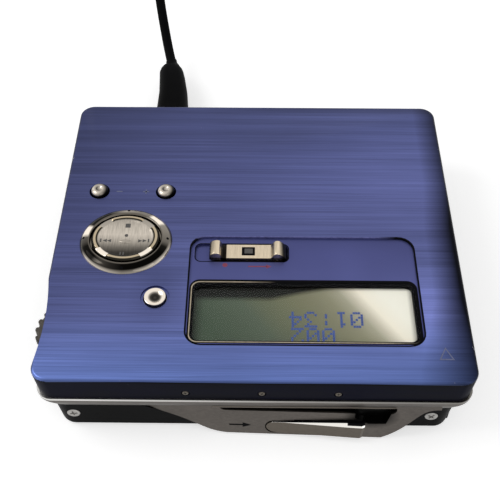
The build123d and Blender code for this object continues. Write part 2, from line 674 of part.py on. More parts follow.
with BuildSketch() as knob_outline:
    # seen from the front: a round left end, and a top edge that climbs to the right
    with BuildLine():
        top_edge = Line((knob_heel[0], knob_heel[1] + knob_height), (knob_tip[0], knob_tip[1]))
        right_edge = Line(top_edge @ 1, (knob_tip[0] - 0.45, knob_tip[1] - 3.5))
        bottom_edge = Line(right_edge @ 1, knob_heel)
        ThreePointArc(knob_heel, (knob_heel[0] - 1.85, knob_heel[1] + knob_height / 2), top_edge @ 0)
    make_face()
with BuildSketch() as knob_pocket:
    add(knob_outline.sketch)
    offset(amount=knob_gap, kind=Kind.INTERSECTION)
with BuildSketch() as knob_body:
    # the part of the knob inside its pocket is shorter by the travel
    add(knob_outline.sketch)
    add(knob_outline.sketch.moved(Location((-knob_travel - fit_gap, 0, 0))), mode=Mode.INTERSECT)
body_right = knob_tip[0] - knob_travel - fit_gap

with BuildPart() as chassis_frame:
    with BuildSketch(facing_front(housing_inside)):
        apron_outline()
    extrude(amount=6.0)
    split(bisect_by=face_plane, keep=Keep.BOTTOM)
    # groove between the band and the housing, and the finger scoop beside the knob
    with BuildSketch(facing_front(housing_inside - 0.35)):
        with Locations((middle(groove_x), groove_z + groove_height / 2)):
            SlotOverall(length(groove_x), groove_height)
        with BuildLine():
            Polyline((18.5, groove_z + 0.6), (18.5, 5.3), (21.0, 3.9), (24.3, 4.0), (25.2, groove_z + 0.6), close=True)
        make_face()
    extrude(amount=6.0, mode=Mode.SUBTRACT)
    # band: curved in below, upright and polished along its top
    for step in range(band_steps + 1):
        share = (1 - step / band_steps) ** 2
        with BuildSketch(above(band_bottom + (band_shoulder - band_bottom) * step / band_steps)):
            RectangleRounded(body_width - 2 * band_side_tuck * share,
                             body_depth - 2 * band_front_tuck * share, corner_radius)
    loft(ruled=True)
    rounded_block((-half_w, half_w), (-half_d, half_d), (band_shoulder, skirt_bottom - 0.05), corner_radius)
    block((-shell_half, shell_half), (band_inner_front, shell_rear), (band_bottom, skirt_bottom), Mode.SUBTRACT)
    block((-half_w, half_w), (rear_step - 0.1, half_d), (skirt_bottom - rear_band_drop, skirt_bottom), Mode.SUBTRACT)
    # hinge ears, and slots beside them for the lid's arms and the holder's cheeks
    for side in (-1, 1):
        slot_x = sorted((side * (cavity_half - 0.1), side * ear_in))
        block(slot_x, (rear_step, half_d + 1), (hinge_height - hinge_ear_radius - part_gap, skirt_bottom),
              Mode.SUBTRACT)
        ear_x = sorted((side * ear_in, side * ear_out))
        with BuildSketch(facing_right(ear_x[0], hinge_y, hinge_height)):
            Circle(hinge_ear_radius)
            with Locations((0, -0.6)):
                Rectangle(2 * hinge_ear_radius, 1.2)
            Circle(hinge_pin_radius, mode=Mode.SUBTRACT)
        extrude(amount=hinge_ear_thickness)
        rod_x(hinge_y, hinge_height, hinge_pin_radius, ear_x, Mode.SUBTRACT)
    # lugs behind the feet for the front screws
    for x in foot_screw_x:
        lug_x = (x - 1.2, x + 1.2)
        block(lug_x, (band_inner_front, lug_rear), (band_bottom, band_bottom + 0.9))
        block(lug_x, (-cover_inner_d + fit_gap, lug_rear), (foot_screw_z - 1.6, band_bottom))
        rod_y(x, foot_screw_z, board_screw_radius, (-cover_inner_d, lug_rear), Mode.SUBTRACT)
    # pocket for the knob and the slot for its stem
    with BuildSketch(face_plane):
        add(knob_pocket.sketch)
    extrude(amount=-knob_depth - fit_gap, mode=Mode.SUBTRACT)
    block((stem_x[0] - fit_gap, stem_x[1] + knob_travel + fit_gap), (-half_d - 1, housing_inside + 0.1),
          (stem_z[0] - fit_gap, stem_z[1] + fit_gap), Mode.SUBTRACT)
save(chassis_frame, "chassis_frame")

with BuildPart() as open_knob:
    with BuildSketch(face_plane.offset(-knob_depth)):
        add(knob_outline.sketch)
    extrude(amount=knob_depth + knob_proud)
    # plan view: flush at the round end, climbing to the right, with an overhang past the pocket's body
    with BuildSketch(Plane(origin=face_plane.origin, x_dir=face_plane.x_dir, z_dir=-face_plane.y_dir)):
        with BuildLine():
            Polyline((knob_heel[0] - 2.5, -knob_depth), (knob_heel[0] - 2.5, 0.0), (knob_tip[0] - 0.6, knob_proud),
                     (knob_tip[0] + 0.1, knob_proud - 0.25), (knob_tip[0] + 0.1, 0.9), (body_right, 0.15),
                     (body_right, -knob_depth), close=True)
        make_face()
    extrude(amount=20, both=True, mode=Mode.INTERSECT)
    with BuildSketch(face_plane.offset(0.15)):
        add(knob_pocket.sketch)
        add(knob_body.sketch, mode=Mode.SUBTRACT)
    extrude(amount=-knob_depth - 1, mode=Mode.SUBTRACT)
    block(stem_x, (housing_face_y + knob_depth - 0.2, latch_front), stem_z)
save(open_knob, "open_knob")

latch_z = (hook_z[1] + 0.1, band_bottom + 2.1)
with BuildPart() as latch_slide:
    # bar behind the band, a tongue down to the knob's stem, and a tab beside each hook's toe
    block((hook_x[0] + hook_toe + 0.2, hook_x[1] + hook_toe + 1.9), (latch_front, latch_rear), latch_z)
    block((stem_x[0] - 1.0, stem_x[1] + 1.0), (latch_front, latch_rear), (stem_z[0] - 0.6, latch_z[0]))
    for x in hook_x:
        tab_x = (x + hook_toe + 0.2, x + hook_toe + 1.9)
        block(tab_x, (-frame_half_d + 0.05, latch_front), (hook_z[1] + 0.1, hook_z[1] + 0.7))
save(latch_slide, "latch_slide")

# ================================================================ casing: black bottom cover and what closes it
door_y = (battery_front - 0.4, battery_rear + 1.9)
door_z = (cover_floor + 0.2, battery_base + battery_thickness + 0.2)
door_pin = (cover_half_w - cover_side_tuck - 0.75, door_y[1] - 0.9)
door_pin_radius = 0.45
with BuildPart() as bottom_cover:
    with BuildSketch(above(0)):
        RectangleRounded(2 * (cover_half_w - cover_side_tuck), 2 * (cover_half_d - 0.2), corner_radius)
    with BuildSketch(above(band_bottom)):
        RectangleRounded(2 * cover_half_w, 2 * cover_half_d, corner_radius)
    loft(ruled=True)
    fillet(bottom_cover.edges().group_by(Axis.Z)[0], cover_base_radius)
    rounded_block((-cover_inner_w, cover_inner_w), (-cover_inner_d, cover_inner_d), (cover_floor, band_bottom),
                  1.5, Mode.SUBTRACT)
    # wider above, round the closed disc holder
    block((-shell_half, shell_half), (-cover_inner_d, shell_rear), (holder_bottom - part_gap, band_bottom),
          Mode.SUBTRACT)
    # the silver housing fills the front between the feet
    with BuildSketch(facing_front(-cover_inner_d + 0.4)):
        apron_outline()
        with Locations((9.3, 0)):
            Rectangle(28.0, 1.2)
    extrude(amount=3.0, mode=Mode.SUBTRACT)
    # battery door opening in the right side, with a slot for its hinge pin
    block((cover_inner_w - 2, half_w), (door_y[0] - fit_gap, door_y[1] + 0.35), (door_z[0] - 0.15, door_z[1] + 0.15),
          Mode.SUBTRACT)
    disc(door_pin, door_pin_radius, (cover_floor - 0.4, door_z[0]), Mode.SUBTRACT)
    # sockets through the back
    for x, radius in ((headphone_x, jack_radius + 0.9), (line_in_x, jack_radius + 0.9), (power_x, 2.3)):
        rod_y(x, jack_height, radius, (cover_inner_d - 0.1, half_d), Mode.SUBTRACT)
    # screw seats in the feet and underneath
    for x in foot_screw_x:
        rod_y(x, foot_screw_z, 1.25, (-half_d, -cover_half_d + 0.35), Mode.SUBTRACT)
        rod_y(x, foot_screw_z, board_screw_radius, (-half_d, -cover_inner_d), Mode.SUBTRACT)
    for x, y in base_screw_places:
        disc((x, y), 1.25, (0, 0.45), Mode.SUBTRACT)
        disc((x, y), board_screw_radius, (0, cover_floor), Mode.SUBTRACT)
    # seats for the foot pads, and posts under the deck and the board
    for x, y in foot_pad_places:
        rounded_block((x - foot_pad_size[0] / 2, x + foot_pad_size[0] / 2),
                      (y - foot_pad_size[1] / 2, y + foot_pad_size[1] / 2), (0, foot_pad_size[2]), 1.2, Mode.SUBTRACT)
    for x, y in base_screw_places:
        disc((x, y), 1.8, (cover_floor, deck_height))
        disc((x, y), board_screw_radius, (cover_floor, deck_height), Mode.SUBTRACT)
save(bottom_cover, "bottom_cover")


def crossed_head(plane, head_radius, depth):
    """Flat screw head set into a surface, with a cross recess."""
    with BuildSketch(plane) as head:
        Circle(head_radius)
    extrude(head.sketch, amount=-depth)
    with BuildSketch(plane) as cross:
        for turn in (0, 90):
            with Locations(Rotation(0, 0, turn)):
                Rectangle(1.5 * head_radius, 0.3 * head_radius)
    extrude(cross.sketch, amount=-0.6 * depth, mode=Mode.SUBTRACT)


with BuildPart() as cover_screws:
    for x in foot_screw_x:
        crossed_head(facing_front(-cover_half_d, x, foot_screw_z), 1.2, 0.35)
        rod_y(x, foot_screw_z, board_screw_radius, (-cover_half_d + 0.35, lug_rear))
    for x, y in base_screw_places:
        crossed_head(Plane(origin=(x, y, 0.05), x_dir=(1, 0, 0), z_dir=(0, 0, -1)), 1.2, 0.4)
        disc((x, y), board_screw_radius, (0.45, deck_top))
save(cover_screws, "cover_screws")

with BuildPart() as foot_pads:
    for x, y in foot_pad_places:
        rounded_block((x - foot_pad_size[0] / 2, x + foot_pad_size[0] / 2),
                      (y - foot_pad_size[1] / 2, y + foot_pad_size[1] / 2), (0, foot_pad_size[2]), 1.2)
save(foot_pads, "foot_pads")

with BuildPart() as hinge_pins:
    for side in (-1, 1):
        rod_x(hinge_y, hinge_height, hinge_pin_radius,
              sorted((side * (cavity_half + 0.05), side * ear_out)))
save(hinge_pins, "hinge_pins")

with BuildPart() as battery_door:
    door_out = cover_half_w - cover_side_tuck + 0.05
    with BuildSketch(above(door_z[0])):
        with BuildLine():
            Polyline((door_out - 0.7, door_y[0]), (door_out, door_y[0]), (door_out + 0.1, door_pin[1]),
                     (door_pin[0], door_pin[1] - 0.7), (door_out - 0.7, door_pin[1] - 0.8), close=True)
        make_face()
        with Locations(door_pin):
            Circle(0.85)
            Circle(door_pin_radius + running_fit, mode=Mode.SUBTRACT)
    extrude(amount=length(door_z))
save(battery_door, "battery_door")

with BuildPart() as door_hinge_pin:
    disc(door_pin, door_pin_radius, (cover_floor - 0.4, door_z[1]))
save(door_hinge_pin, "door_hinge_pin")

# ================================================================ power
battery_x = (battery_left, battery_left + battery_length)
with BuildPart() as battery:
    block((battery_x[0] + 0.5, battery_x[1] - 0.5), (battery_front, battery_rear),
          (battery_base, battery_base + battery_thickness))
    fillet(battery.edges().filter_by(Axis.X), 1.2)
    block(battery_x, (battery_rear - 6.5, battery_rear - 3.5), (battery_base + 1.5, battery_base + 4.5))
save(battery, "battery")

with BuildPart() as battery_contacts:
    wall_x = -cover_inner_w
    for y in (battery_front + 4.0, battery_rear - 5.0):
        with BuildSketch(above(battery_base + 1.8)):
            with BuildLine():
                Polyline((wall_x, y - 2.0), (wall_x + 0.3, y - 2.0), (battery_left - 0.15, y),
                         (wall_x + 0.3, y + 2.0), (wall_x, y + 2.0), (wall_x, y + 1.7), (battery_left - 0.45, y),
                         (wall_x, y - 1.7), close=True)
            make_face()
        extrude(amount=2.4)
save(battery_contacts, "battery_contacts")

# ================================================================ drive deck: spindle, sled and its screw
rod_y_places = (-rod_spacing / 2, rod_spacing / 2)
rod_x_span = (sled_start - 1.2, sled_start + sled_length + sled_travel + 0.3)
screw_y = rod_y_places[1] + screw_offset
deck_right = cover_inner_w - part_gap
deck_rear = screw_y + 8.0
post_x = ((rod_x_span[0] - 0.8, rod_x_span[0]), (rod_x_span[1], rod_x_span[1] + 0.8))
gear_x = (rod_x_span[0] - 2.4, rod_x_span[0] - 1.0)
screw_x = (gear_x[0], post_x[1][1])
pinion_y = screw_y + gear_module * (screw_gear_teeth + pinion_teeth) / 2
gear_room = gear_module * (screw_gear_teeth / 2 + 1) + part_gap

with BuildPart() as drive_deck:
    block((deck_left, deck_right), (deck_front, deck_rear), (deck_height, deck_top))
    rounded_block((sled_start - 0.5, deck_right - 1.2), (-rod_spacing / 2 + 2.2, rod_spacing / 2 - 2.2),
                  (deck_height, deck_top), 1.0, Mode.SUBTRACT)
    block((gear_x[0] - part_gap, gear_x[1] + part_gap), (screw_y - gear_room, pinion_y + gear_room),
          (deck_height, deck_top), Mode.SUBTRACT)
    # posts that hold the guide rods and the lead screw
    for x in post_x:
        for y in rod_y_places:
            block(x, (y - 1.4, y + 1.4), (deck_top, rod_height + 1.4))
            rod_x(y, rod_height, rod_radius, x, Mode.SUBTRACT)
        block(x, (screw_y - 1.4, screw_y + 1.4), (deck_top, rod_height + 1.5))
        rod_x(screw_y, rod_height, 0.5 + running_fit, x, Mode.SUBTRACT)
    for x, y in base_screw_places:
        disc((x, y), board_screw_radius, (deck_height, deck_top), Mode.SUBTRACT)
save(drive_deck, "drive_deck")

with BuildPart() as spindle_motor:
    disc((0, 0), motor_radius, (deck_top, deck_top + 0.5))
    disc((0, 0), motor_radius - 1.2, (deck_top, deck_top + motor_height - 0.6))
    disc((0, 0), 1.9, (deck_top, deck_top + motor_height))
    disc((0, 0), spindle_radius + running_fit, (deck_top + 0.3, deck_top + motor_height), Mode.SUBTRACT)
save(spindle_motor, "spindle_motor")

rotor_bottom = deck_top + motor_height + 0.1
with BuildPart() as turntable:
    disc((0, 0), rotor_radius, (rotor_bottom, rotor_bottom + 0.8))
    disc((0, 0), hub_radius, (rotor_bottom, cavity_bottom - 0.1))
    disc((0, 0), hub_boss_radius, (rotor_bottom, cavity_bottom + 0.8))
    chamfer(turntable.edges().group_by(Axis.Z)[-1], 0.5)
    disc((0, 0), spindle_radius, (deck_top + 0.35, rotor_bottom))
save(turntable, "turntable")

with BuildPart() as guide_rods:
    for y in rod_y_places:
        rod_x(y, rod_height, rod_radius, (post_x[0][0], post_x[1][1]))
save(guide_rods, "guide_rods")

sled_x = (sled_start, sled_start + sled_length)
sled_z = (deck_top + 0.4, holder_bottom - 0.5)
with BuildPart() as pickup_sled:
    block(sled_x, (-rod_spacing / 2 + 1.5, rod_spacing / 2 - 1.5), (sled_z[0] - 0.2, sled_z[1] - 0.6))
    for y in rod_y_places:
        block(sled_x, (y - 1.8, y + 1.8), (rod_height - 1.6, rod_height + 1.6))
    # finger to the lead screw
    block((lens_x - 1.5, lens_x + 1.5), (rod_y_places[1], screw_y),
          (rod_height + screw_radius + 0.1, rod_height + 1.6))
    for y in rod_y_places:
        rod_x(y, rod_height, rod_radius + running_fit, sled_x, Mode.SUBTRACT)
    disc((lens_x, 0), 2.6, (sled_z[0] + 0.6, sled_z[1]), Mode.SUBTRACT)
save(pickup_sled, "pickup_sled")

with BuildPart() as pickup_lens:
    disc((lens_x, 0), 2.6, (sled_z[0] + 0.6, sled_z[1] - 0.4))
    disc((lens_x, 0), 1.5, (sled_z[1] - 0.4, sled_z[1] + 0.1))
    fillet(pickup_lens.edges().group_by(Axis.Z)[-1], 0.4)
save(pickup_lens, "pickup_lens")

with BuildPart() as lead_screw:
    rod_x(screw_y, rod_height, 0.5, screw_x)
    rod_x(screw_y, rod_height, screw_radius, (post_x[0][1] + 0.1, post_x[1][0] - 0.1))
    # rings stand for a two-start thread: its lead is twice their spacing
    groove_count = int((length(rod_x_span) - 2) / 1.5)
    for index in range(groove_count):
        groove = post_x[0][1] + 1.1 + 1.5 * index
        with BuildSketch(facing_right(groove, screw_y, rod_height)):
            Circle(screw_radius)
            Circle(screw_radius - 0.25, mode=Mode.SUBTRACT)
        extrude(amount=0.6, mode=Mode.SUBTRACT)
save(lead_screw, "lead_screw")


def spur_gear(y, z, teeth, bore, x, phase):
    """Spur gear along X with straight-flanked teeth that run with clearance."""
    pitch_radius = gear_module * teeth / 2
    tip = pitch_radius + 0.8 * gear_module
    root = pitch_radius - 1.1 * gear_module
    with BuildSketch(facing_right(x[0], y, z)) as wheel:
        Circle(root)
        with Locations(Rotation(0, 0, phase)):
            with PolarLocations(0, teeth):
                Polygon((root - 0.1, -0.62 * gear_module), (tip, -0.26 * gear_module),
                        (tip, 0.26 * gear_module), (root - 0.1, 0.62 * gear_module), align=None)
        Circle(bore, mode=Mode.SUBTRACT)
    extrude(wheel.sketch, amount=length(x))


with BuildPart() as screw_gear:
    spur_gear(screw_y, rod_height, screw_gear_teeth, 0.5, gear_x, 0)
save(screw_gear, "screw_gear")

with BuildPart() as motor_pinion:
    spur_gear(pinion_y, rod_height, pinion_teeth, 0.4, gear_x, 180 + 180 / pinion_teeth)
    rod_x(pinion_y, rod_height, 0.4, (gear_x[0], gear_x[1] + 1.2))
save(motor_pinion, "motor_pinion")

with BuildPart() as sled_motor:
    motor_body_x = (gear_x[1] + 0.5, gear_x[1] + 12.5)
    rod_x(pinion_y, rod_height, 1.9, motor_body_x)
    rod_x(pinion_y, rod_height, 0.4 + running_fit, (motor_body_x[0], motor_body_x[0] + 1.0), Mode.SUBTRACT)
    block((motor_body_x[0] + 2, motor_body_x[1] - 2), (pinion_y - 1.5, pinion_y + 1.5), (deck_top, rod_height - 1.0))
save(sled_motor, "sled_motor")

# ================================================================ electronics
with BuildPart() as main_board:
    board_x = (-cover_inner_w + part_gap, deck_left - part_gap)
    board_z = (deck_height, deck_height + board_thickness)
    rounded_block(board_x, (deck_front, cover_inner_d - part_gap), board_z, 1.5)
    rounded_block((board_x[1] - 4, deck_right), (deck_rear + part_gap, cover_inner_d - part_gap), board_z, 1.5)
    for x, y in base_screw_places:
        disc((x, y), board_screw_radius, board_z, Mode.SUBTRACT)
save(main_board, "main_board")

with BuildPart() as board_chips:
    for x, y, width, depth, height in ((-26, -4, 9, 9, 1.1), (-25, 8, 7, 7, 1.0), (-16, 4, 4, 6, 0.9),
                                       (-30, 17, 5, 4, 1.6), (-14, -8, 3, 5, 1.2), (20, 30, 8, 4, 1.1)):
        block((x - width / 2, x + width / 2), (y - depth / 2, y + depth / 2), (board_z[1], board_z[1] + height))
save(board_chips, "board_chips")

for label, x, radius, depth in (("headphone_jack", headphone_x, jack_radius, 14.5),
                                ("line_in_jack", line_in_x, jack_radius, 14.5),
                                ("power_jack", power_x, 1.6, 9.0)):
    with BuildPart() as jack:
        jack_rear = cover_inner_d - part_gap
        block((x - 3.0, x + 3.0), (jack_rear - depth - 1.0, jack_rear), (board_z[1], jack_height + jack_body / 2 - 0.4))
        rod_y(x, jack_height, radius + 0.7, (jack_rear - 0.1, cover_half_d - 0.1))
        rod_y(x, jack_height, radius, (jack_rear - depth, cover_half_d), Mode.SUBTRACT)
        if label == "power_jack":
            rod_y(x, jack_height, 0.5, (jack_rear - depth, jack_rear))
    save(jack, label)

# ================================================================ lead: plug, cord, coil and far plug
plug_seat = cover_half_d + 0.05
plug_z = jack_height + 0.1
plug_sections = ((plug_seat, 0.0, 8.2, 6.6), (plug_seat + 9.6, -0.6, 8.0, 6.4), (plug_seat + 18.8, -0.95, 7.0, 5.9),
                 (plug_seat + 26.6, -1.9, 6.1, 5.3), (plug_seat + 28.2, -2.05, 5.3, 4.8))
with BuildPart() as plug_shell:
    # flat tapered body, then a shoulder down to the cord
    for y, shift, width, height in plug_sections:
        with BuildSketch(facing_front(y, headphone_x + shift, plug_z)):
            RectangleRounded(width, height, 0.3 * height)
    loft(ruled=True)
    with BuildSketch(facing_front(plug_sections[-1][0], headphone_x + plug_sections[-1][1], plug_z)):
        RectangleRounded(plug_sections[-1][2], plug_sections[-1][3], 0.3 * plug_sections[-1][3])
    with BuildSketch(Plane(origin=lead_route[0], x_dir=(1, 0, 0), z_dir=-lead_start)):
        Circle(cord_radius + 0.15)
    loft()
save(plug_shell, "plug_shell")

with BuildPart() as plug_pin:
    rod_y(headphone_x, jack_height, jack_radius - running_fit, (cover_inner_d - part_gap - 14.0, plug_seat))
    chamfer(plug_pin.edges().group_by(Axis.Y)[0], 0.8)
save(plug_pin, "plug_pin")

with BuildPart() as cord_lead:
    with BuildLine():
        FilletPolyline(*lead_route, radius=bend_radii(lead_route))
    with BuildSketch(Plane(origin=lead_route[0], z_dir=lead_start)):
        Circle(cord_radius)
    sweep()
save(cord_lead, "cord_lead")

with BuildPart() as cord_coil:
    # the outer shape of the bundle; its turns lie inside it
    with BuildSketch(facing_front(coil_centre[1], coil_centre[0] + coil_radius, coil_centre[2])):
        Circle(bundle_radius)
    revolve(axis=Axis(coil_centre, (0, 0, 1)))
save(cord_coil, "cord_coil")

with BuildPart() as cord_tie:
    with BuildSketch(facing_right(coil_centre[0], coil_centre[1] + coil_radius, coil_centre[2])):
        Circle(bundle_radius + 0.5)
        Circle(bundle_radius, mode=Mode.SUBTRACT)
    revolve(axis=Axis(coil_centre, (0, 0, 1)), revolution_arc=degrees(tie_width / coil_radius))
save(cord_tie, "cord_tie")

with BuildPart() as cord_tail:
    with BuildLine():
        FilletPolyline(*tail_route, radius=bend_radii(tail_route))
    with BuildSketch(Plane(origin=tail_route[0], z_dir=Vector(*tail_route[1]) - Vector(*tail_route[0]))):
        Circle(cord_radius)
    sweep()
save(cord_tail, "cord_tail")

far_plug_plane = Plane(origin=tail_route[-1], z_dir=Vector(*tail_route[-1]) - Vector(*tail_route[-2]))
with BuildPart() as far_plug:
    for share, radius in ((0.0, cord_radius + 0.2), (5.0, 2.0), (6.0, far_plug_radius), (15.0, far_plug_radius)):
        with BuildSketch(far_plug_plane.offset(share)):
            Circle(radius)
    loft(ruled=True)
save(far_plug, "far_plug")

with BuildPart() as far_plug_pin:
    with BuildSketch(far_plug_plane.offset(15.0)):
        Circle(jack_radius - running_fit)
    extrude(amount=14.0)
    chamfer(far_plug_pin.faces().sort_by(Axis.Y)[0].edges(), 0.8)
save(far_plug_pin, "far_plug_pin")
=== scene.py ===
from math import cos, hypot, pi, radians, sin, sqrt

import bmesh
import bpy
from mathutils import Matrix, Vector


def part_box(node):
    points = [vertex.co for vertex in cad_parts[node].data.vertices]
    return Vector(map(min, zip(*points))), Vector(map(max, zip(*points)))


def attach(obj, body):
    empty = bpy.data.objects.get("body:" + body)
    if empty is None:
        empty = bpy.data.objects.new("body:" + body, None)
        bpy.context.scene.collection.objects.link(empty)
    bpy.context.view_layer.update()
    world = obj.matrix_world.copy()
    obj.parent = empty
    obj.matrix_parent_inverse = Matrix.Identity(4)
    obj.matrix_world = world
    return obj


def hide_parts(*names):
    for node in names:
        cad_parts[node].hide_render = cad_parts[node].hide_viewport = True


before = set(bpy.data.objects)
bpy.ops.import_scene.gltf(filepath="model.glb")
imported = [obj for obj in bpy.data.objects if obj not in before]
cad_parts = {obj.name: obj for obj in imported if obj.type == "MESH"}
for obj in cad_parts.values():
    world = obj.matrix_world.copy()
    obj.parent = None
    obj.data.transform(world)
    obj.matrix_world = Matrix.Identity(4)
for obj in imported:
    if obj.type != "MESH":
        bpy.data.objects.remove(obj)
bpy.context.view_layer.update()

# A portable minidisc player lying closed, with the lead of its headphones coiled behind it.
# Lengths are in millimetres until they reach a mesh, in the frame of the solids: +X along the width,
# -Y the side that opens, +Z up, z = 0 the resting surface.
MM = 0.001
ALONG_X, ALONG_Y, UP = Vector((1, 0, 0)), Vector((0, 1, 0)), Vector((0, 0, 1))

# -------- sizes shared with the solids
HALF_W, HALF_D = 39.5, 36.0         # the lid
LID_TOP = 17.1
SKIRT_BOTTOM = 10.8
BEZEL_TOP = 16.7                    # violet field that is let into the lid
DISPLAY_TOP = 15.865                # the liquid-crystal face, seen through the window
BACK_FACE = 35.32
PAD = Vector((-25.5, -4.1, 0.0))    # round control: the pad in its chrome ring
PAD_RADII = (6.7, 5.8)
PAD_NECK = (6.0, 5.6)
RING_RADII = (9.1, 8.25)
RING_CREST = (7.4, 6.5)
VOLUME = (Vector((-32.3, 9.35, LID_TOP)), Vector((-18.6, 9.35, LID_TOP)))
GROUP = Vector((-18.7, -17.8, LID_TOP))
JOG = Vector((-33.9, -24.5, 14.25))
GEAR_X, GEAR_Z = 7.8, 3.7           # where the lead screw's gear and its pinion meet the deck
FACE_ORIGIN = Vector((9.0, -36.45, 3.4))        # leaning front face that carries the opening knob
FACE_LEAN, FACE_TURN = radians(11.0), radians(1.2)
FACE_OUT = Vector((-sin(FACE_TURN) * cos(FACE_LEAN), -cos(FACE_TURN) * cos(FACE_LEAN), sin(FACE_LEAN)))
PLUG_X, PLUG_Z = -20.0, 4.6
CORD_RADIUS = 1.2
LEAD_ROUTE = (
    (-22.1, 66.0, 5.0), (-23.2, 70.4, 6.2), (-24.3, 75.2, 9.0), (-25.2, 78.9, 12.4), (-25.9, 82.0, 17.0),
    (-26.9, 87.5, 21.8), (-28.9, 95.5, 24.6), (-31.4, 104.0, 24.0), (-33.8, 112.0, 19.6),
    (-35.9, 118.6, 12.9), (-37.5, 124.4, 6.2), (-39.1, 131.3, 2.6), (-40.1, 138.5, 1.9),
)
TAIL_ROUTE = ((-13.8, 141.5, 2.0), (-13.7, 137.2, 3.1), (-13.6, 133.4, 3.1))
COIL_CENTRE = Vector((-27.0, 150.0, 5.4))
COIL_RADIUS = 13.3
COIL_TURNS = 10                     # and a half
TURN_POINTS = 16


# ======== node trees
class Socket:
    """An output in a node tree. Arithmetic on it adds Math nodes."""

    def __init__(self, graph, output):
        self.graph = graph
        self.output = output

    def __add__(self, other):
        return self.graph.math("ADD", self, other)

    def __sub__(self, other):
        return self.graph.math("SUBTRACT", self, other)

    def __rsub__(self, other):
        return self.graph.math("SUBTRACT", other, self)

    def __mul__(self, other):
        return self.graph.math("MULTIPLY", self, other)

    def __truediv__(self, other):
        return self.graph.math("DIVIDE", self, other)

    def __lt__(self, other):
        return self.graph.math("LESS_THAN", self, other)

    def __gt__(self, other):
        return self.graph.math("GREATER_THAN", self, other)

    def __abs__(self):
        return self.graph.math("ABSOLUTE", self)

    __radd__ = __add__
    __rmul__ = __mul__


class Graph:
    """A node tree under construction."""

    def __init__(self, tree):
        self.tree = tree

    def node(self, kind, settings=None, inputs=(), output=0):
        """Add a node: its settings first, then the values or links of its sockets."""
        node = self.tree.nodes.new(kind)
        for name, value in (settings or {}).items():
            if name == "stops":
                ramp = node.color_ramp
                while len(ramp.elements) < len(value):
                    ramp.elements.new(1.0)
                for element, (place, shade) in zip(ramp.elements, value):
                    element.position = place
                    element.color = shade
            else:
                setattr(node, name, value)
        for key, value in inputs.items() if isinstance(inputs, dict) else enumerate(inputs):
            self.feed(node.inputs[key], value)
        return Socket(self, node.outputs[output])

    def math(self, operation, *values):
        return self.node("ShaderNodeMath", {"operation": operation}, values)

    def feed(self, socket, value):
        if isinstance(value, Socket):
            self.tree.links.new(value.output, socket)
        else:
            socket.default_value = value


class Finish(Graph):
    """A material: one Principled shader, its constants set on its own sockets."""

    def __init__(self, name, color, rough, metal=0.0, **constants):
        self.material = bpy.data.materials.new(name)
        self.material.use_nodes = True
        super().__init__(self.material.node_tree)
        self.tree.nodes.clear()
        self.shader = self.tree.nodes.new("ShaderNodeBsdfPrincipled")
        end = self.tree.nodes.new("ShaderNodeOutputMaterial")
        self.tree.links.new(self.shader.outputs[0], end.inputs[0])
        self.put(Base_Color=(*color, 1.0), Roughness=rough, Metallic=metal, **constants)
        self.place = self.node("ShaderNodeTexCoord", output="Object")

    def put(self, **values):
        for name, value in values.items():
            self.feed(self.shader.inputs[name.replace("_", " ")], value)

    def xyz(self):
        """Object coordinates in millimetres, one socket for each axis."""
        parts = self.node("ShaderNodeSeparateXYZ", inputs=[self.place])
        return tuple(Socket(self, out) * 1000.0 for out in parts.output.node.outputs)

    def across(self, centre, radii):
        """Place in an ellipse: along X, along Y and out from its centre, each 1 at its edge."""
        x, y, z = self.xyz()
        u, v = (x - centre.x) / radii[0], (y - centre.y) / radii[1]
        return u, v, self.math("SQRT", u * u + v * v)

    def noise(self, scale, detail=2.0, rough=0.5, seed=0.0):
        """Noise whose grain is given in grains per millimetre along X, Y and Z."""
        stretched = self.node("ShaderNodeMapping", inputs={
            "Vector": self.place, "Location": (seed, seed * 0.7, seed * 0.3),
            "Scale": tuple(1000.0 * grains for grains in scale)})
        return self.node("ShaderNodeTexNoise", {"noise_dimensions": "3D"},
                         {"Vector": stretched, "Scale": 1.0, "Detail": detail, "Roughness": rough})

    def ramp(self, value, *stops):
        """Colour ramp over a value: each stop is a place and a colour or a grey."""
        shades = [(at, (*shade, 1.0) if isinstance(shade, tuple) else (shade, shade, shade, 1.0))
                  for at, shade in stops]
        return self.node("ShaderNodeValToRGB", {"stops": shades}, [value])

    def span(self, value, low, high, start=0.0, end=1.0):
        """Value between low and high turned into start to end, clamped."""
        return self.node("ShaderNodeMapRange", {"clamp": True}, [value, low, high, start, end])

    def mix(self, share, first, second, way="MIX"):
        colors = [(*c, 1.0) if isinstance(c, tuple) and len(c) == 3 else c for c in (first, second)]
        return self.node("ShaderNodeMix", {"data_type": "RGBA", "blend_type": way},
                         {0: share, 6: colors[0], 7: colors[1]}, 2)

    def dim(self, color, level):
        """A colour times a level that varies over the surface."""
        grey = self.node("ShaderNodeCombineColor", inputs=[level, level, level])
        return self.mix(1.0, color, grey, "MULTIPLY")

    def tinted(self, value, tint, *stops):
        """Ramp of one tint at several levels: each stop is a place and a level."""
        return self.ramp(value, *((at, tuple(level * part for part in tint)) for at, level in stops))

    def bump(self, height, strength, depth):
        """Bump of a height field; depth is in millimetres."""
        self.put(Normal=self.node("ShaderNodeBump", inputs={
            "Height": height, "Strength": strength, "Distance": depth * MM}))


def linked(name, data):
    """A new object in the scene."""
    thing = bpy.data.objects.new(name, data)
    bpy.context.collection.objects.link(thing)
    return thing


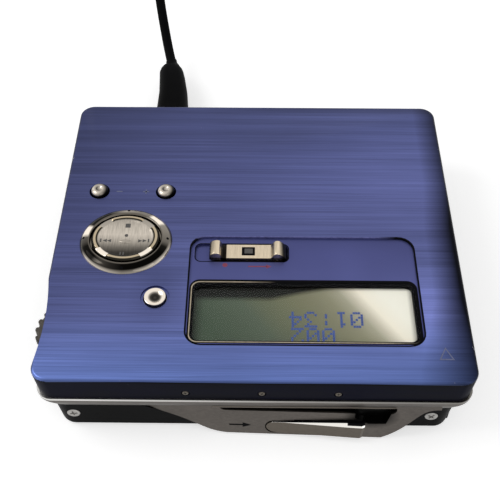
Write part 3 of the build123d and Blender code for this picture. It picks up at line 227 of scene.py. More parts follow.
class Recipe(Graph):
    """A Geometry Nodes tree with named inputs, applied to an object and made a plain mesh."""

    def __init__(self, name, **inputs):
        super().__init__(bpy.data.node_groups.new(name, "GeometryNodeTree"))
        faces = self.tree.interface
        faces.new_socket("Geometry", in_out="INPUT", socket_type="NodeSocketGeometry")
        self.names = {}
        for label, value in inputs.items():
            kind = {int: "NodeSocketInt", float: "NodeSocketFloat"}.get(type(value), "NodeSocketObject")
            socket = faces.new_socket(label.replace("_", " "), in_out="INPUT", socket_type=kind)
            self.names[label] = socket.identifier
        faces.new_socket("Geometry", in_out="OUTPUT", socket_type="NodeSocketGeometry")
        self.start = self.tree.nodes.new("NodeGroupInput")
        self.defaults = inputs

    def given(self, label):
        """Output of one of the named inputs."""
        return Socket(self, self.start.outputs[label.replace("_", " ")])

    def close(self, shapes, material):
        """Turn the copies into real shapes and give them their material."""
        solid = self.node("GeometryNodeRealizeInstances", inputs=[shapes])
        dressed = self.node("GeometryNodeSetMaterial", inputs={"Geometry": solid, "Material": material})
        end = self.tree.nodes.new("NodeGroupOutput")
        self.feed(end.inputs[0], dressed)

    def grow(self, name, start_mesh, **values):
        """Run the tree on a mesh and keep the result as a plain mesh."""
        thing = linked(name, start_mesh)
        modifier = thing.modifiers.new("grow", "NODES")
        modifier.node_group = self.tree
        for label, value in {**self.defaults, **values}.items():
            modifier[self.names[label]] = value
        bpy.context.view_layer.update()
        grown = bpy.data.meshes.new_from_object(thing.evaluated_get(bpy.context.evaluated_depsgraph_get()))
        thing.modifiers.clear()
        thing.data = grown
        return thing


# ======== finishes
def brushed_lid():
    """Blue brushed sheet: hairlines along the width, painted reflection and shade that deepen the blue
    towards the hinge and the right-hand edge, and bare metal where the rim is chipped."""
    f = Finish("brushed_lid", (0.1, 0.12, 0.33), 0.34, 0.85, Coat_Weight=0.03, Coat_Roughness=0.15,
               Specular_IOR_Level=0.1)
    x, y, z = f.xyz()
    hair = f.noise((0.035, 5.5, 2.0), 4.0, 0.65)
    band = f.noise((0.012, 0.75, 0.4), 2.0, 0.5, 3.0)
    cloud = f.noise((0.03, 0.05, 0.05), 2.0, 0.5, 5.0)
    tone = f.span(hair * 0.5 + band * 0.3 + cloud * 0.2, 0.36, 0.66, 0.68, 1.36)
    # Painted reflection: the blue is darker towards the hinge and lighter towards the front.
    depth = f.ramp(f.span(y, HALF_D, -HALF_D), (0.0, (0.052, 0.062, 0.158)), (0.5, (0.086, 0.099, 0.245)),
                   (0.8, (0.106, 0.125, 0.31)), (1.0, (0.112, 0.165, 0.42)))
    # Painted reflection and shade: how brightly the sheet is painted from place to place, with a painted
    # glint.
    front = f.span(y, -18.0, -34.0)
    left = f.span(x, -39.0, -12.0, 0.70, 1.0)
    left = left + (1.12 - left) * front * f.span(x, -2.0, -16.0)
    ease = f.span(y, 0.0, 12.0) * 1.2
    right = f.span(x, 33.4 - front * 4.4 + ease, 38.6 + front * 1.3 + ease, 1.0, 0.02)
    middle = f.span(x, -5.0, 28.0, 1.0, 1.14)
    back = f.span(x, -8.0, 26.0, 0.04, 0.30) * f.span(y, -1.0, 8.0) + 1.0
    painted_hinge_edge_shade = f.span(y, 32.5, 35.5, 1.0, f.span(x, -12.0, 10.0, 0.95, 0.55))
    painted_glint = f.span(abs(x - 31.5), 5.5, 1.0) * f.span(abs(y + 21.0), 11.0, 3.0) * 0.42 + 1.0
    painted_front_right_shade = 1 - f.span(x, 8.0, 30.0, 0.0, 0.2) * f.span(y, -27.0, -33.0)
    painted_shade_by_group_key = 1 - f.span(abs(x + 18.0), 6.0, 1.0) * f.span(abs(y + 17.0), 9.0, 3.0) * 0.2
    painted_light = left * middle * right * back * painted_glint * painted_front_right_shade * painted_shade_by_group_key * painted_hinge_edge_shade
    # Painted shade along the rounded rim.
    edge = (f.span(abs(x), HALF_W - 0.55, HALF_W - 0.2, 1.0, 0.3)
            * f.span(abs(y), HALF_D - 0.45, HALF_D - 0.1, 1.0, 0.45))
    # The blue with its painted reflection and shade; the chips and scuffs below are real wear.
    blue = f.dim(depth, tone * painted_light * edge)
    rim = (abs(x) > HALF_W - 0.5) + (abs(y) > HALF_D - 0.5)
    chip = (f.noise((0.35, 0.35, 0.8), 4.0, 0.7, 8.0) > 0.66) * f.span(rim, 0.0, 1.0) * (z > LID_TOP - 0.75)
    scuff = (f.noise((0.9, 0.16, 0.4), 3.0, 0.7, 11.0) > 0.78) * (z > LID_TOP - 0.2)
    f.put(Base_Color=f.mix(f.span(chip + scuff * 0.35, 0.0, 1.0), blue, (0.30, 0.30, 0.34)),
          Roughness=f.span(hair, 0.3, 0.7, 0.27, 0.42))
    f.bump(hair, 0.25, 0.02)
    return f.material


def lid_skirt():
    """Near-black navy side of the lid, with a painted shadow line under its top edge and a few bare
    scratches.
    """
    f = Finish("lid_skirt", (0.002, 0.0024, 0.008), 0.4, 0.0, Specular_IOR_Level=0.02)
    x, y, z = f.xyz()
    cloud = f.noise((0.08, 0.08, 0.3), 2.0, 0.5, 4.0)
    navy = f.ramp(cloud, (0.35, (0.0016, 0.0019, 0.0065)), (0.65, (0.0032, 0.0036, 0.0125)))
    # Painted shadow: black just under the lid's top edge.
    painted_shadow_line = z > LID_TOP - 0.85
    scratch = (f.noise((0.22, 0.22, 3.0), 3.0, 0.6, 6.0) > 0.71) * (z > LID_TOP - 1.2)
    color = f.mix(scratch, f.mix(painted_shadow_line, navy, (0.001, 0.001, 0.002)), (0.13, 0.13, 0.15))
    f.put(Base_Color=color, Roughness=f.span(cloud, 0.3, 0.7, 0.34, 0.46))
    return f.material


def violet_bezel():
    """Violet paint of the field round the display, with a painted reflection that makes it lighter towards
    the front.
    """
    f = Finish("violet_bezel", (0.1, 0.11, 0.3), 0.42, 0.55, Coat_Weight=0.06, Coat_Roughness=0.2,
               Specular_IOR_Level=0.15)
    grain = f.noise((6.0, 6.0, 6.0), 3.0, 0.6)
    cloud = f.noise((0.05, 0.05, 0.05), 2.0)
    x, y, z = f.xyz()
    # Painted reflection: darker at the back, lighter towards the front.
    depth = f.ramp(f.span(y, -2.0, -29.0), (0.0, (0.062, 0.070, 0.20)), (0.18, (0.076, 0.085, 0.245)),
                   (0.5, (0.094, 0.106, 0.29)), (1.0, (0.100, 0.118, 0.36)))
    f.put(Base_Color=f.dim(depth, f.span(cloud, 0.35, 0.65, 0.9, 1.1)),
          Roughness=f.span(grain, 0.3, 0.7, 0.36, 0.48))
    f.bump(grain, 0.12, 0.01)
    return f.material


def satin_metal(name, color, rough, grain, spread, metal, bump):
    """Metal with fine lines or grain: colour and roughness vary a little along them."""
    f = Finish(name, color, rough, metal)
    lines = f.noise(grain, 3.0, 0.6)
    low = tuple(c * (1 - spread) for c in color)
    high = tuple(min(1.0, c * (1 + spread)) for c in color)
    f.put(Base_Color=f.ramp(lines, (0.35, low), (0.65, high)),
          Roughness=f.span(lines, 0.3, 0.7, rough - 0.06, rough + 0.06))
    f.bump(lines, bump, 0.01)
    return f.material


def smudges(f, low, high):
    """Roughness of a mirror with faint smudges."""
    return f.span(f.noise((0.35, 0.3, 0.3), 3.0, 0.6), 0.45, 0.75, low, high)


def polished_metal(name, color, rough):
    """Mirror with faint smudges."""
    f = Finish(name, color, rough, 1.0)
    f.put(Roughness=smudges(f, rough, rough + 0.10))
    return f.material


def moulded(name, color, rough, grain, bump, coat=0.0, gloss=0.5):
    """Plastic or paint with a fine moulded texture."""
    f = Finish(name, color, rough, Coat_Weight=coat, Specular_IOR_Level=gloss)
    fine = f.noise((grain,) * 3, 2.0, 0.5)
    cloud = f.noise((0.08,) * 3, 2.0, 0.5, 2.0)
    low = tuple(c * 0.82 for c in color)
    high = tuple(min(1.0, c * 1.22 + 0.0006) for c in color)
    f.put(Base_Color=f.ramp(cloud, (0.35, low), (0.65, high)),
          Roughness=f.span(fine, 0.3, 0.7, rough - 0.07, rough + 0.07))
    f.bump(fine, bump, 0.02)
    return f.material


def housing_metal():
    """Warm satin metal of the middle housing: a chrome line along its upper edge with a painted highlight
    that fades to the right, and painted shade, black, in the hollow behind the opening knob and in the finger
    scoop beside it."""
    f = Finish("housing_metal", (0.14, 0.128, 0.117), 0.36, 0.95)
    x, y, z = f.xyz()
    grain = f.noise((1.2, 1.2, 3.0), 3.0, 0.6)
    cloud = f.noise((0.06, 0.06, 0.1), 2.0, 0.5, 4.0)
    color = f.ramp(grain * 0.5 + cloud * 0.5, (0.35, (0.082, 0.073, 0.066)), (0.65, (0.118, 0.106, 0.095)))
    front = y < -34.6
    # Painted shade: black in the hollow behind the knob's leaning face and in the finger scoop, softening out
    # round the scoop.
    behind = ((FACE_ORIGIN.x - x) * FACE_OUT.x + (FACE_ORIGIN.y - y) * FACE_OUT.y
              + (FACE_ORIGIN.z - z) * FACE_OUT.z)
    hollow = f.span(behind, 0.1, 0.45) * (z < 8.3) * (z > 0.9) * (abs(x - FACE_ORIGIN.x) < 18.0) * front
    blot = f.node("ShaderNodeVectorMath", {"operation": "LENGTH"}, [
        f.node("ShaderNodeCombineXYZ", inputs=[(x - 21.6) * 0.62, 0.0, z - 5.9])], "Value")
    scoop = f.span(blot, 1.7, 3.3, 1.0, 0.0) * front * (z < 8.0)
    color = f.mix(f.span(hollow + scoop * 0.9, 0.0, 1.0), color, (0.005, 0.005, 0.005))
    # Painted highlight on the chrome line along the upper edge: bright at the left, dim at the right.
    painted_sheen = f.ramp(f.span(x, -30.0, 36.0), (0.0, (0.62, 0.61, 0.59)), (0.3, (0.5, 0.49, 0.47)),
                   (0.55, (0.27, 0.26, 0.245)), (1.0, (0.17, 0.16, 0.145)))
    bright = (z > SKIRT_BOTTOM - 0.62) * (z < SKIRT_BOTTOM + 0.02)
    f.put(Base_Color=f.mix(bright, color, painted_sheen), Roughness=f.span(bright, 0, 1, 0.38, 0.2))
    f.bump(grain, 0.08, 0.01)
    return f.material


# Tint of the painted reflections on the chrome ring, the pad and the keys.
PAINTED_REFLECTION_TINT = (1.0, 0.90, 0.77)     # warm grey of a mirror in a dim room


def ring_chrome():
    """Chrome of the control ring with painted reflection: dark on its near flank, bright at its shoulders,
    and a painted dark line at its inner crest.
    """
    f = Finish("ring_chrome", (0.5, 0.48, 0.45), 0.07, 1.0)
    u, v, out = f.across(PAD, RING_RADII)
    turn = f.math("ARCTAN2", v, u) / (2 * pi) + 0.5
    # Painted reflection round the ring, by angle: bright patches and dark stretches on its top and on its
    # flank.
    rim = f.tinted(turn, PAINTED_REFLECTION_TINT, (0.0, 0.10), (0.06, 0.12), (0.1, 0.75), (0.16, 0.55), (0.25, 0.22),
                   (0.34, 0.30), (0.4, 0.7), (0.46, 0.5), (0.5, 0.10), (0.56, 0.14), (0.6, 0.55), (0.66, 0.4),
                   (0.78, 0.2), (0.9, 0.12), (0.94, 0.7), (0.97, 0.75), (1.0, 0.10))
    flank = f.tinted(turn, PAINTED_REFLECTION_TINT, (0.0, 0.10), (0.025, 0.07), (0.05, 0.008), (0.12, 0.004),
                     (0.155, 0.05), (0.2, 0.02), (0.25, 0.003), (0.42, 0.003), (0.455, 0.01), (0.48, 0.13),
                     (0.52, 0.19), (0.575, 0.27), (0.59, 1.0), (0.64, 1.0), (0.655, 0.2), (0.7, 0.2),
                     (0.76, 0.34), (0.8, 0.10), (0.83, 0.008), (0.9, 0.006), (0.925, 0.02), (0.94, 1.0),
                     (0.98, 1.0), (1.0, 0.10))
    # Painted dark line along the inner crest.
    crest = f.span(out, 0.79, 0.815, 1.0, 0.0)
    body = f.mix(f.span(out, 0.935, 0.985), flank, rim)
    f.put(Base_Color=f.mix(crest, body, (0.13, 0.115, 0.095)), Roughness=smudges(f, 0.07, 0.16))
    return f.material


def pad_metal():
    """Satin dish of the pad, brushed fore and aft, with polished ridges near its rim; painted shade darkens
    the dish towards the front, and painted shadow and highlight line the ridges.
    """
    f = Finish("pad_metal", (0.5, 0.48, 0.45), 0.3, 1.0)
    u, v, out = f.across(PAD, PAD_RADII)
    lines = f.noise((5.0, 0.3, 5.0), 3.0, 0.6)
    forward = v * 0.5 + 0.5
    # Painted shade: the dish darkens towards the front.
    dish = f.tinted(forward, PAINTED_REFLECTION_TINT, (0.0, 0.02), (0.12, 0.02), (0.2, 0.05), (0.3, 0.15), (0.42, 0.35),
                    (0.58, 0.56), (0.75, 0.5), (1.0, 0.25))
    dish = f.dim(dish, f.span(lines, 0.3, 0.7, 0.8, 1.2))
    # Painted shadow inside each ridge and a painted highlight on it; painted reflection between the ridges.
    ridge = f.mix(f.span(out, 0.945, 0.93) * f.span(out, 0.86, 0.875), (0.02, 0.018, 0.014),
                  (0.50, 0.41, 0.28))
    between = f.tinted(forward, PAINTED_REFLECTION_TINT, (0.0, 0.5), (0.1, 0.95), (0.3, 0.9), (0.38, 0.3), (0.7, 0.42),
                       (1.0, 0.3))
    between = f.mix(f.span(out, 0.955, 0.975), between, (0.05, 0.045, 0.035))
    raised = f.span(abs(u * u - v * v) - (u * u + v * v) * 0.45, -0.015, 0.015)
    rim = f.span(out, 0.80, 0.83)
    f.put(Base_Color=f.mix(rim, dish, f.mix(raised, between, ridge)),
          Roughness=f.span(rim, 0.0, 1.0, 0.32, 0.16))
    f.bump(lines, 0.12, 0.01)
    return f.material


def key_finish(name):
    """Polished metal of a small key, a little worn."""
    f = Finish(name, (0.5, 0.48, 0.45), 0.1, 1.0)
    f.put(Roughness=f.span(f.noise((0.8, 0.8, 0.8), 3.0), 0.4, 0.7, 0.08, 0.18))
    return f


def key_chrome():
    """The volume keys, with painted reflection: dark in their hollow and on the flank that faces the front,
    and painted shade, black, down in their wells.
    """
    f = key_finish("key_chrome")
    # Painted reflection by the way each face turns; black below the lid's top is painted shade in the wells.
    normal = f.node("ShaderNodeTexCoord", output="Normal")
    towards = f.node("ShaderNodeVectorMath", {"operation": "DOT_PRODUCT"},
                     [normal, (-0.45, -0.3, 0.84)], "Value")
    painted_light = f.tinted(towards, PAINTED_REFLECTION_TINT, (0.0, 0.004), (0.3, 0.006), (0.45, 0.05), (0.62, 0.16),
                     (0.78, 0.3), (0.9, 0.55), (0.96, 0.75), (1.0, 0.3))
    x, y, z = f.xyz()
    f.put(Base_Color=f.mix(z < LID_TOP + 0.1, painted_light, (0.002, 0.002, 0.002)))
    return f.material


def group_chrome():
    """The group key, with painted reflection: a bright rim round a dark hollow."""
    f = key_finish("group_chrome")
    u, v, out = f.across(GROUP, (2.2, 2.2))
    f.put(Base_Color=f.tinted(out, PAINTED_REFLECTION_TINT, (0.0, 0.05), (0.22, 0.02), (0.4, 0.05), (0.52, 0.3),
                              (0.62, 0.85), (0.86, 0.9), (0.93, 0.45), (0.96, 0.03)))
    return f.material


def knob_metal():
    """Pale brushed plating of the record knob, with painted reflection and shade: light and dark bands along
    it and a dark right-hand flank.
    """
    f = Finish("knob_metal", (0.6, 0.54, 0.44), 0.26, 1.0)
    x, y, z = f.xyz()
    lines = f.noise((4.0, 0.3, 4.0), 3.0, 0.6)
    # Painted reflection and shade along the knob, bump by bump.
    along = f.tinted(f.span(x, -9.0, 6.4), (1.0, 0.84, 0.62), (0.0, 0.10), (0.04, 0.30), (0.1, 0.68),
                     (0.135, 0.78), (0.155, 0.12), (0.17, 0.008), (0.215, 0.008), (0.225, 0.60),
                     (0.5, 0.66), (0.77, 0.62), (0.8, 0.30), (0.83, 0.55), (0.875, 0.75), (0.90, 0.35),
                     (0.93, 0.03), (1.0, 0.01))
    f.put(Base_Color=f.dim(along, f.span(lines, 0.3, 0.7, 0.88, 1.1)))
    f.bump(lines, 0.1, 0.01)
    return f.material


def display_face():
    """Reflective liquid-crystal face: grey-green, with a painted reflection that turns it pale at the right
    and painted shadow along its far edge.
    """
    f = Finish("display_face", (0.2, 0.22, 0.14), 0.3, 0.0, Specular_IOR_Level=0.2)
    x, y, z = f.xyz()
    grain = f.noise((12.0, 12.0, 12.0), 2.0)
    across = x + y * 0.73 + grain * 1.2
    # Grey-green face, with a painted reflection that turns it pale towards the right.
    glow = f.ramp(f.span(across, -25.0, 13.0), (0.0, (0.053, 0.081, 0.053)), (0.26, (0.090, 0.116, 0.083)),
                  (0.37, (0.128, 0.141, 0.090)), (0.54, (0.186, 0.186, 0.115)), (0.63, (0.22, 0.213, 0.14)),
                  (0.71, (0.265, 0.257, 0.175)), (0.79, (0.39, 0.365, 0.275)), (0.84, (0.64, 0.59, 0.49)),
                  (0.895, (0.97, 0.90, 0.78)), (1.0, (1.0, 0.96, 0.87)))
    # The window's walls shade it: a broad shadow from the far one, thin ones from its ends.
    reach = f.span(x, 3.0, 15.0, -17.4, -14.7)
    shadow = f.span(y - reach + f.noise((0.1, 0.1, 0.1), 1.0) * 0.4, -0.1, 1.1)
    shade = (f.span(shadow, 0.0, 1.0, 1.0, 0.02) * f.span(x, -11.6, -9.6, 0.2, 1.0)
             * f.span(x, 28.6, 29.6, 1.0, 0.5) * f.span(y, -15.2, -14.2, 1.0, 0.72))
    f.put(Base_Color=f.dim(glow, shade))
    return f.material


def clear_window():
    """Clear plastic of the window, a little smeared."""
    f = Finish("clear_window", (0.96, 0.97, 0.95), 0.02, 0.0, Transmission_Weight=1.0, IOR=1.12)
    smear = f.noise((0.2, 0.2, 0.2), 3.0)
    f.put(Roughness=f.span(smear, 0.4, 0.7, 0.015, 0.05))
    return f.material


def circuit_board():
    """Green solder resist with copper tracks under it and tinned pads."""
    f = Finish("circuit_board", (0.02, 0.12, 0.05), 0.35, 0.0, Coat_Weight=0.4, Coat_Roughness=0.2)
    tracks = f.node("ShaderNodeTexBrick", {"offset": 0.5, "squash": 2.0}, {
        "Vector": f.place, "Scale": 450.0, "Mortar Size": 0.06, "Bias": 0.0}, 1)
    warp = f.noise((0.5, 0.5, 0.5), 3.0)
    pads = f.node("ShaderNodeTexVoronoi", {"feature": "F1"}, {"Vector": f.place, "Scale": 520.0}) < 0.13
    color = f.mix(f.span(tracks * (warp > 0.48), 0, 1), (0.012, 0.075, 0.032), (0.03, 0.17, 0.07))
    f.put(Base_Color=f.mix(pads, color, (0.62, 0.58, 0.46)), Metallic=pads * 0.8)
    f.bump(tracks, 0.2, 0.03)
    return f.material


def ink(name, color, rough=0.5, gloss=0.5):
    """Worn print."""
    f = Finish(name, color, rough, Specular_IOR_Level=gloss)
    worn = f.noise((2.5, 2.5, 2.5), 3.0)
    f.put(Base_Color=f.ramp(worn, (0.3, tuple(c * 0.75 for c in color)), (0.7, color)))
    return f.material


def outline_ink(name, light, far, right=None):
    """Black line round an opening: painted shadow of the gap there. Its far side, from a place along Y, has a
    painted highlight, and so does its left side, up to a span along X, where that span is given."""
    f = Finish(name, (0.004, 0.004, 0.005), 0.45, 0.0, Specular_IOR_Level=0.03)
    x, y, z = f.xyz()
    # Where the painted highlight falls.
    if right:
        lit = (1 - f.span(x, *right)) * f.span(y + x * 0.02, far - 0.6, far, 1.0, f.span(x, 4.0, -2.0))
    else:
        lit = f.span(y, far - 0.6, far) * f.span(x, 27.5, 24.0)
    worn = f.noise((1.5, 1.5, 1.5), 3.0)
    f.put(Base_Color=f.mix(lit * f.span(worn, 0.3, 0.6, 0.7, 1.0), (0.004, 0.004, 0.005), light),
          Metallic=lit * (0.9 if right else 0.3))
    return f.material


FINISH = {
    "lid": brushed_lid(),
    "skirt": lid_skirt(),
    "bezel": violet_bezel(),
    "housing": housing_metal(),
    "silver": satin_metal("satin_silver", (0.112, 0.097, 0.08), 0.38, (1.2, 1.2, 3.0), 0.08, 0.9, 0.08),
    "ring": ring_chrome(),
    "button": key_chrome(),
    "facet": polished_metal("polished_facet", (0.86, 0.83, 0.78), 0.12),
    "pad": pad_metal(),
    "champagne": knob_metal(),
    "group": group_chrome(),
    "jog": satin_metal("jog_metal", (0.075, 0.068, 0.06), 0.35, (1.0, 1.0, 1.0), 0.15, 1.0, 0.1),
    "steel": satin_metal("pressed_steel", (0.42, 0.41, 0.395), 0.33, (0.15, 3.0, 1.0), 0.1, 1.0, 0.1),
    "dull_steel": satin_metal("tinned_steel", (0.34, 0.33, 0.315), 0.42, (0.8, 0.8, 0.8), 0.15, 1.0, 0.1),
    "brass": satin_metal("machined_brass", (0.62, 0.44, 0.19), 0.3, (4.0, 4.0, 0.3), 0.1, 1.0, 0.1),
    "black_metal": moulded("black_cover", (0.0018, 0.0018, 0.002), 0.42, 5.0, 0.15, gloss=0.02),
    "black": moulded("black_plastic", (0.0028, 0.0028, 0.0032), 0.5, 4.0, 0.25, gloss=0.02),
    "gloss_black": moulded("gloss_black", (0.004, 0.004, 0.005), 0.25, 4.0, 0.05, gloss=0.15),
    "grey": moulded("grey_plastic", (0.10, 0.105, 0.11), 0.45, 4.0, 0.2),
    "white": moulded("white_plastic", (0.60, 0.59, 0.55), 0.45, 4.0, 0.15),
    "rubber": moulded("rubber_foot", (0.008, 0.008, 0.008), 0.75, 6.0, 0.4, gloss=0.06),
    "cord": moulded("cord_jacket", (0.0026, 0.0026, 0.003), 0.55, 5.0, 0.2, gloss=0.02),
    "wrap": moulded("cell_sleeve", (0.06, 0.10, 0.26), 0.28, 1.0, 0.05, 0.4),
    "display": display_face(),
    "window": clear_window(),
    "board": circuit_board(),
    "lens": polished_metal("coated_lens", (0.32, 0.36, 0.62), 0.04),
    "digit": ink("digit_blue", (0.035, 0.085, 0.36), 0.4),
    "mark": ink("dark_icon", (0.085, 0.08, 0.075), 0.5),
    "legend": ink("pale_legend", (0.135, 0.15, 0.27), 0.5),
    "red": ink("red_mark", (0.26, 0.04, 0.09), 0.5),
    # Black lines round the bezel and the window: painted shadow of the gaps, with painted highlights where
    # lit; the window's lit line is its bronze border.
    "seam_and_painted_light": outline_ink("bezel_seam", (0.13, 0.14, 0.34), -2.85),
    "window_seam": outline_ink("window_seam", (0.42, 0.36, 0.27), -13.95, (24.0, 30.0)),
    # Black ink for real marks, also used as painted shadow in gaps, slots and on the knob.
    "dark": ink("dark_mark", (0.004, 0.004, 0.005), 0.5, gloss=0.03),
}

# Every node of the solids gets its finish here; the ones drawn in more detail below are replaced.
NODES_OF_FINISH = {
    "lid": "lid_panel",
    "black": "lid_frame rec_slider board_chips headphone_jack line_in_jack plug_shell cord_tie far_plug",
    "button": "skirt_screws vol_minus_button vol_plus_button group_button guide_rods",
    "bezel": "display_bezel",
    "window": "lcd_window",
    "display": "lcd_panel",
    "champagne": "rec_knob",
    "board": "key_board main_board",
    "ring": "nav_ring",
    "pad": "nav_pad",
    "steel": (
        "nav_gimbal nav_stem jog_pin disc_holder holder_sides holder_bridges holder_wall hinge_pins "
        "door_hinge_pin drive_deck turntable lead_screw"),
    "silver": "jog_dial open_knob",
    "dull_steel": "disc_springs head_rails head_arm latch_slide cover_screws spindle_motor sled_motor",
    "grey": "head_carriage pickup_sled",
    "housing": "chassis_frame",
    "black_metal": "bottom_cover battery_door",
    "rubber": "foot_pads",
    "wrap": "battery",
    "brass": "battery_contacts motor_pinion plug_pin far_plug_pin",
    "lens": "pickup_lens",
    "white": "screw_gear",
    "gloss_black": "power_jack",
    "cord": "cord_lead cord_coil cord_tail",
}
for finish, nodes in NODES_OF_FINISH.items():
    for node in nodes.split():
        node_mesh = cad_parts[node].data
        node_mesh.materials.clear()
        node_mesh.materials.append(FINISH[finish])


# ======== shapes, in millimetres
def add_loft(shape, loops, caps=True, closed=False):
    """Skin between loops of points. With closed, the last loop joins the first one."""
    rows = [[shape.verts.new(point) for point in loop] for loop in loops]
    pairs = list(zip(rows, rows[1:])) + ([(rows[-1], rows[0])] if closed else [])
    for lower, upper in pairs:
        for index, corner in enumerate(lower):
            after = (index + 1) % len(lower)
            shape.faces.new((corner, lower[after], upper[after], upper[index]))
    if caps and not closed:
        shape.faces.new(rows[0][::-1])
        shape.faces.new(rows[-1])


def circle_points(radius, count, squash=(1.0, 1.0)):
    """Circle as 2-D points, counterclockwise."""
    return [(radius * squash[0] * cos(2 * pi * k / count), radius * squash[1] * sin(2 * pi * k / count))
            for k in range(count)]


def ellipse_loop(centre, radii, height, count=96):
    """Ellipse laid level round a centre."""
    return placed(circle_points(1.0, count, radii), centre[0], centre[1], height)


def rounded_loop(half_x, half_y, radius, corner_points=6):
    """Rectangle with round corners as 2-D points, counterclockwise."""
    loop = []
    for turn, (sx, sy) in enumerate(((1, 1), (-1, 1), (-1, -1), (1, -1))):
        for step in range(corner_points + 1):
            angle = pi / 2 * (turn + step / corner_points)
            loop.append((sx * (half_x - radius) + radius * cos(angle),
                         sy * (half_y - radius) + radius * sin(angle)))
    return loop


def bar(x, y, half_x, half_y):
    """Plain rectangle as 2-D points."""
    return [(x - half_x, y - half_y), (x + half_x, y - half_y),
            (x + half_x, y + half_y), (x - half_x, y + half_y)]


def placed(loop, x, y, z):
    """2-D loop laid level at a place."""
    return [Vector((x + u, y + v, z)) for u, v in loop]


def axis_frame(origin, ahead, side=None):
    """Matrix whose Z runs ahead from the origin and whose X runs to the side."""
    z = Vector(ahead).normalized()
    x = Vector(side) if side else (UP if abs(z.z) < 0.9 else ALONG_X)
    x = (x - z * x.dot(z)).normalized()
    rows = Matrix((x, z.cross(x), z)).transposed().to_4x4()
    rows.translation = Vector(origin)
    return rows


def add_turned(shape, profile, where, count=48, caps=True):
    """Turned form: a profile of radius and height pairs. Without caps it is a ring, closed on itself."""
    loops = [[where @ Vector((u, v, height)) for u, v in circle_points(radius, count)]
             for radius, height in profile]
    add_loft(shape, loops, caps, closed=not caps)


def add_prism(shape, outline, where, depth):
    """Flat outline pushed out along the frame's Z."""
    add_loft(shape, [[where @ Vector((u, v, h)) for u, v in outline] for h in (0.0, depth)])


def solid_copy(node):
    """Copy of a solid's mesh with its loose triangles joined."""
    shape = bmesh.new()
    shape.from_mesh(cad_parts[node].data)
    bmesh.ops.scale(shape, vec=(1000.0,) * 3, verts=shape.verts)
    bmesh.ops.remove_doubles(shape, verts=shape.verts, dist=0.003)
    bmesh.ops.dissolve_limit(shape, angle_limit=radians(0.5), verts=shape.verts, edges=shape.edges)
    return shape


def to_mesh(name, shape, finish, crease=35.0):
    """Close a bmesh in millimetres into a mesh in metres, smooth except at its creases."""
    bmesh.ops.remove_doubles(shape, verts=shape.verts, dist=1e-4)
    bmesh.ops.recalc_face_normals(shape, faces=shape.faces)
    bmesh.ops.scale(shape, vec=(MM,) * 3, verts=shape.verts)
    for face in shape.faces:
        face.smooth = True
    for edge in shape.edges:
        edge.smooth = edge.calc_face_angle(0.0) < radians(crease)
    mesh = bpy.data.meshes.new(name)
    shape.to_mesh(mesh)
    shape.free()
    mesh.materials.append(FINISH[finish])
    return mesh


def settle(thing, body, replaced=()):
    """Hand a finished object to the frame."""
    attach(thing, body)
    if replaced:
        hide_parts(*replaced)
    return thing


def piece(name, shape, finish, body, replaced=(), crease=35.0):
    """A bmesh made into a piece that rides on a body."""
    return settle(linked(name, to_mesh(name, shape, finish, crease)), body, replaced)


def turned_piece(name, profile, where, finish, body, replaced, count=48, crease=35.0):
    """A turned form as a piece of its own."""
    shape = bmesh.new()
    add_turned(shape, profile, where, count)
    return piece(name, shape, finish, body, replaced, crease)


def points_mesh(name, places, turns=None):
    """Loose points, in millimetres, with a turn for each, for a recipe to put shapes on."""
    mesh = bpy.data.meshes.new(name)
    mesh.from_pydata([Vector(place) * MM for place in places], [], [])
    if turns:
        attribute = mesh.attributes.new("turn", "FLOAT_VECTOR", "POINT")
        for item, turn in zip(attribute.data, turns):
            item.vector = turn.to_euler()[:]
    return mesh


# ======== camera
camera_data = bpy.data.cameras.new("camera")
camera_data.sensor_width = 36.0
camera_data.lens = 64.31
camera_data.clip_start = 0.005
camera_data.clip_end = 20.0
camera = linked("camera", camera_data)
camera.location = (0.000836, -0.117679, 0.150909)
camera.rotation_euler = (0.69506, 0.0035057, 0.0128915)
bpy.context.scene.camera = camera


# ======== lead: cord, plug, coil tie and far plug
def bundle_spot(turn):
    """Where a turn lies in the bundle: eight turns round its outside, two at its core, then out below."""
    swing, reach = 230.0 - 40.0 * turn, 3.52
    if turn > 8.1:
        reach = max(1.2, reach - 4.0 * (turn - 8.1))
    if turn > 10.0:
        swing, reach = -170.0 + 120.0 * (turn - 10.0), 1.2 + 4.8 * (turn - 10.0)
    return reach * cos(radians(swing)), reach * sin(radians(swing))


def coil_route():
    """The coil's turns as points, clockwise from its left side to its right side."""
    for index in range(TURN_POINTS * COIL_TURNS + TURN_POINTS // 2 + 1):
        turn = index / TURN_POINTS
        side, rise = bundle_spot(turn)
        radius = (COIL_RADIUS + side) / cos(pi / TURN_POINTS)
        angle = pi - 2 * pi * turn
        yield COIL_CENTRE + Vector((radius * cos(angle), radius * sin(angle), rise))


def curve_piece(name, points, radius, finish):
    """One open NURBS spline through its control points, as a round cord."""
    data = bpy.data.curves.new(name, "CURVE")
    data.dimensions = "3D"
    data.bevel_depth = radius * MM
    data.bevel_resolution = 5
    data.resolution_u = 6
    spline = data.splines.new("NURBS")
    spline.points.add(len(points) - 1)
    for spot, point in zip(spline.points, points):
        spot.co = (*(Vector(point) * MM), 1.0)
    spline.order_u = 3
    spline.use_endpoint_u = True
    data.use_fill_caps = True
    data.materials.append(FINISH[finish])
    return linked(name, data)


headphone_cord = curve_piece("headphone_cord", [*LEAD_ROUTE, *coil_route(), *TAIL_ROUTE], CORD_RADIUS, "cord")
settle(headphone_cord, "chassis", ("cord_lead", "cord_coil", "cord_tail"))


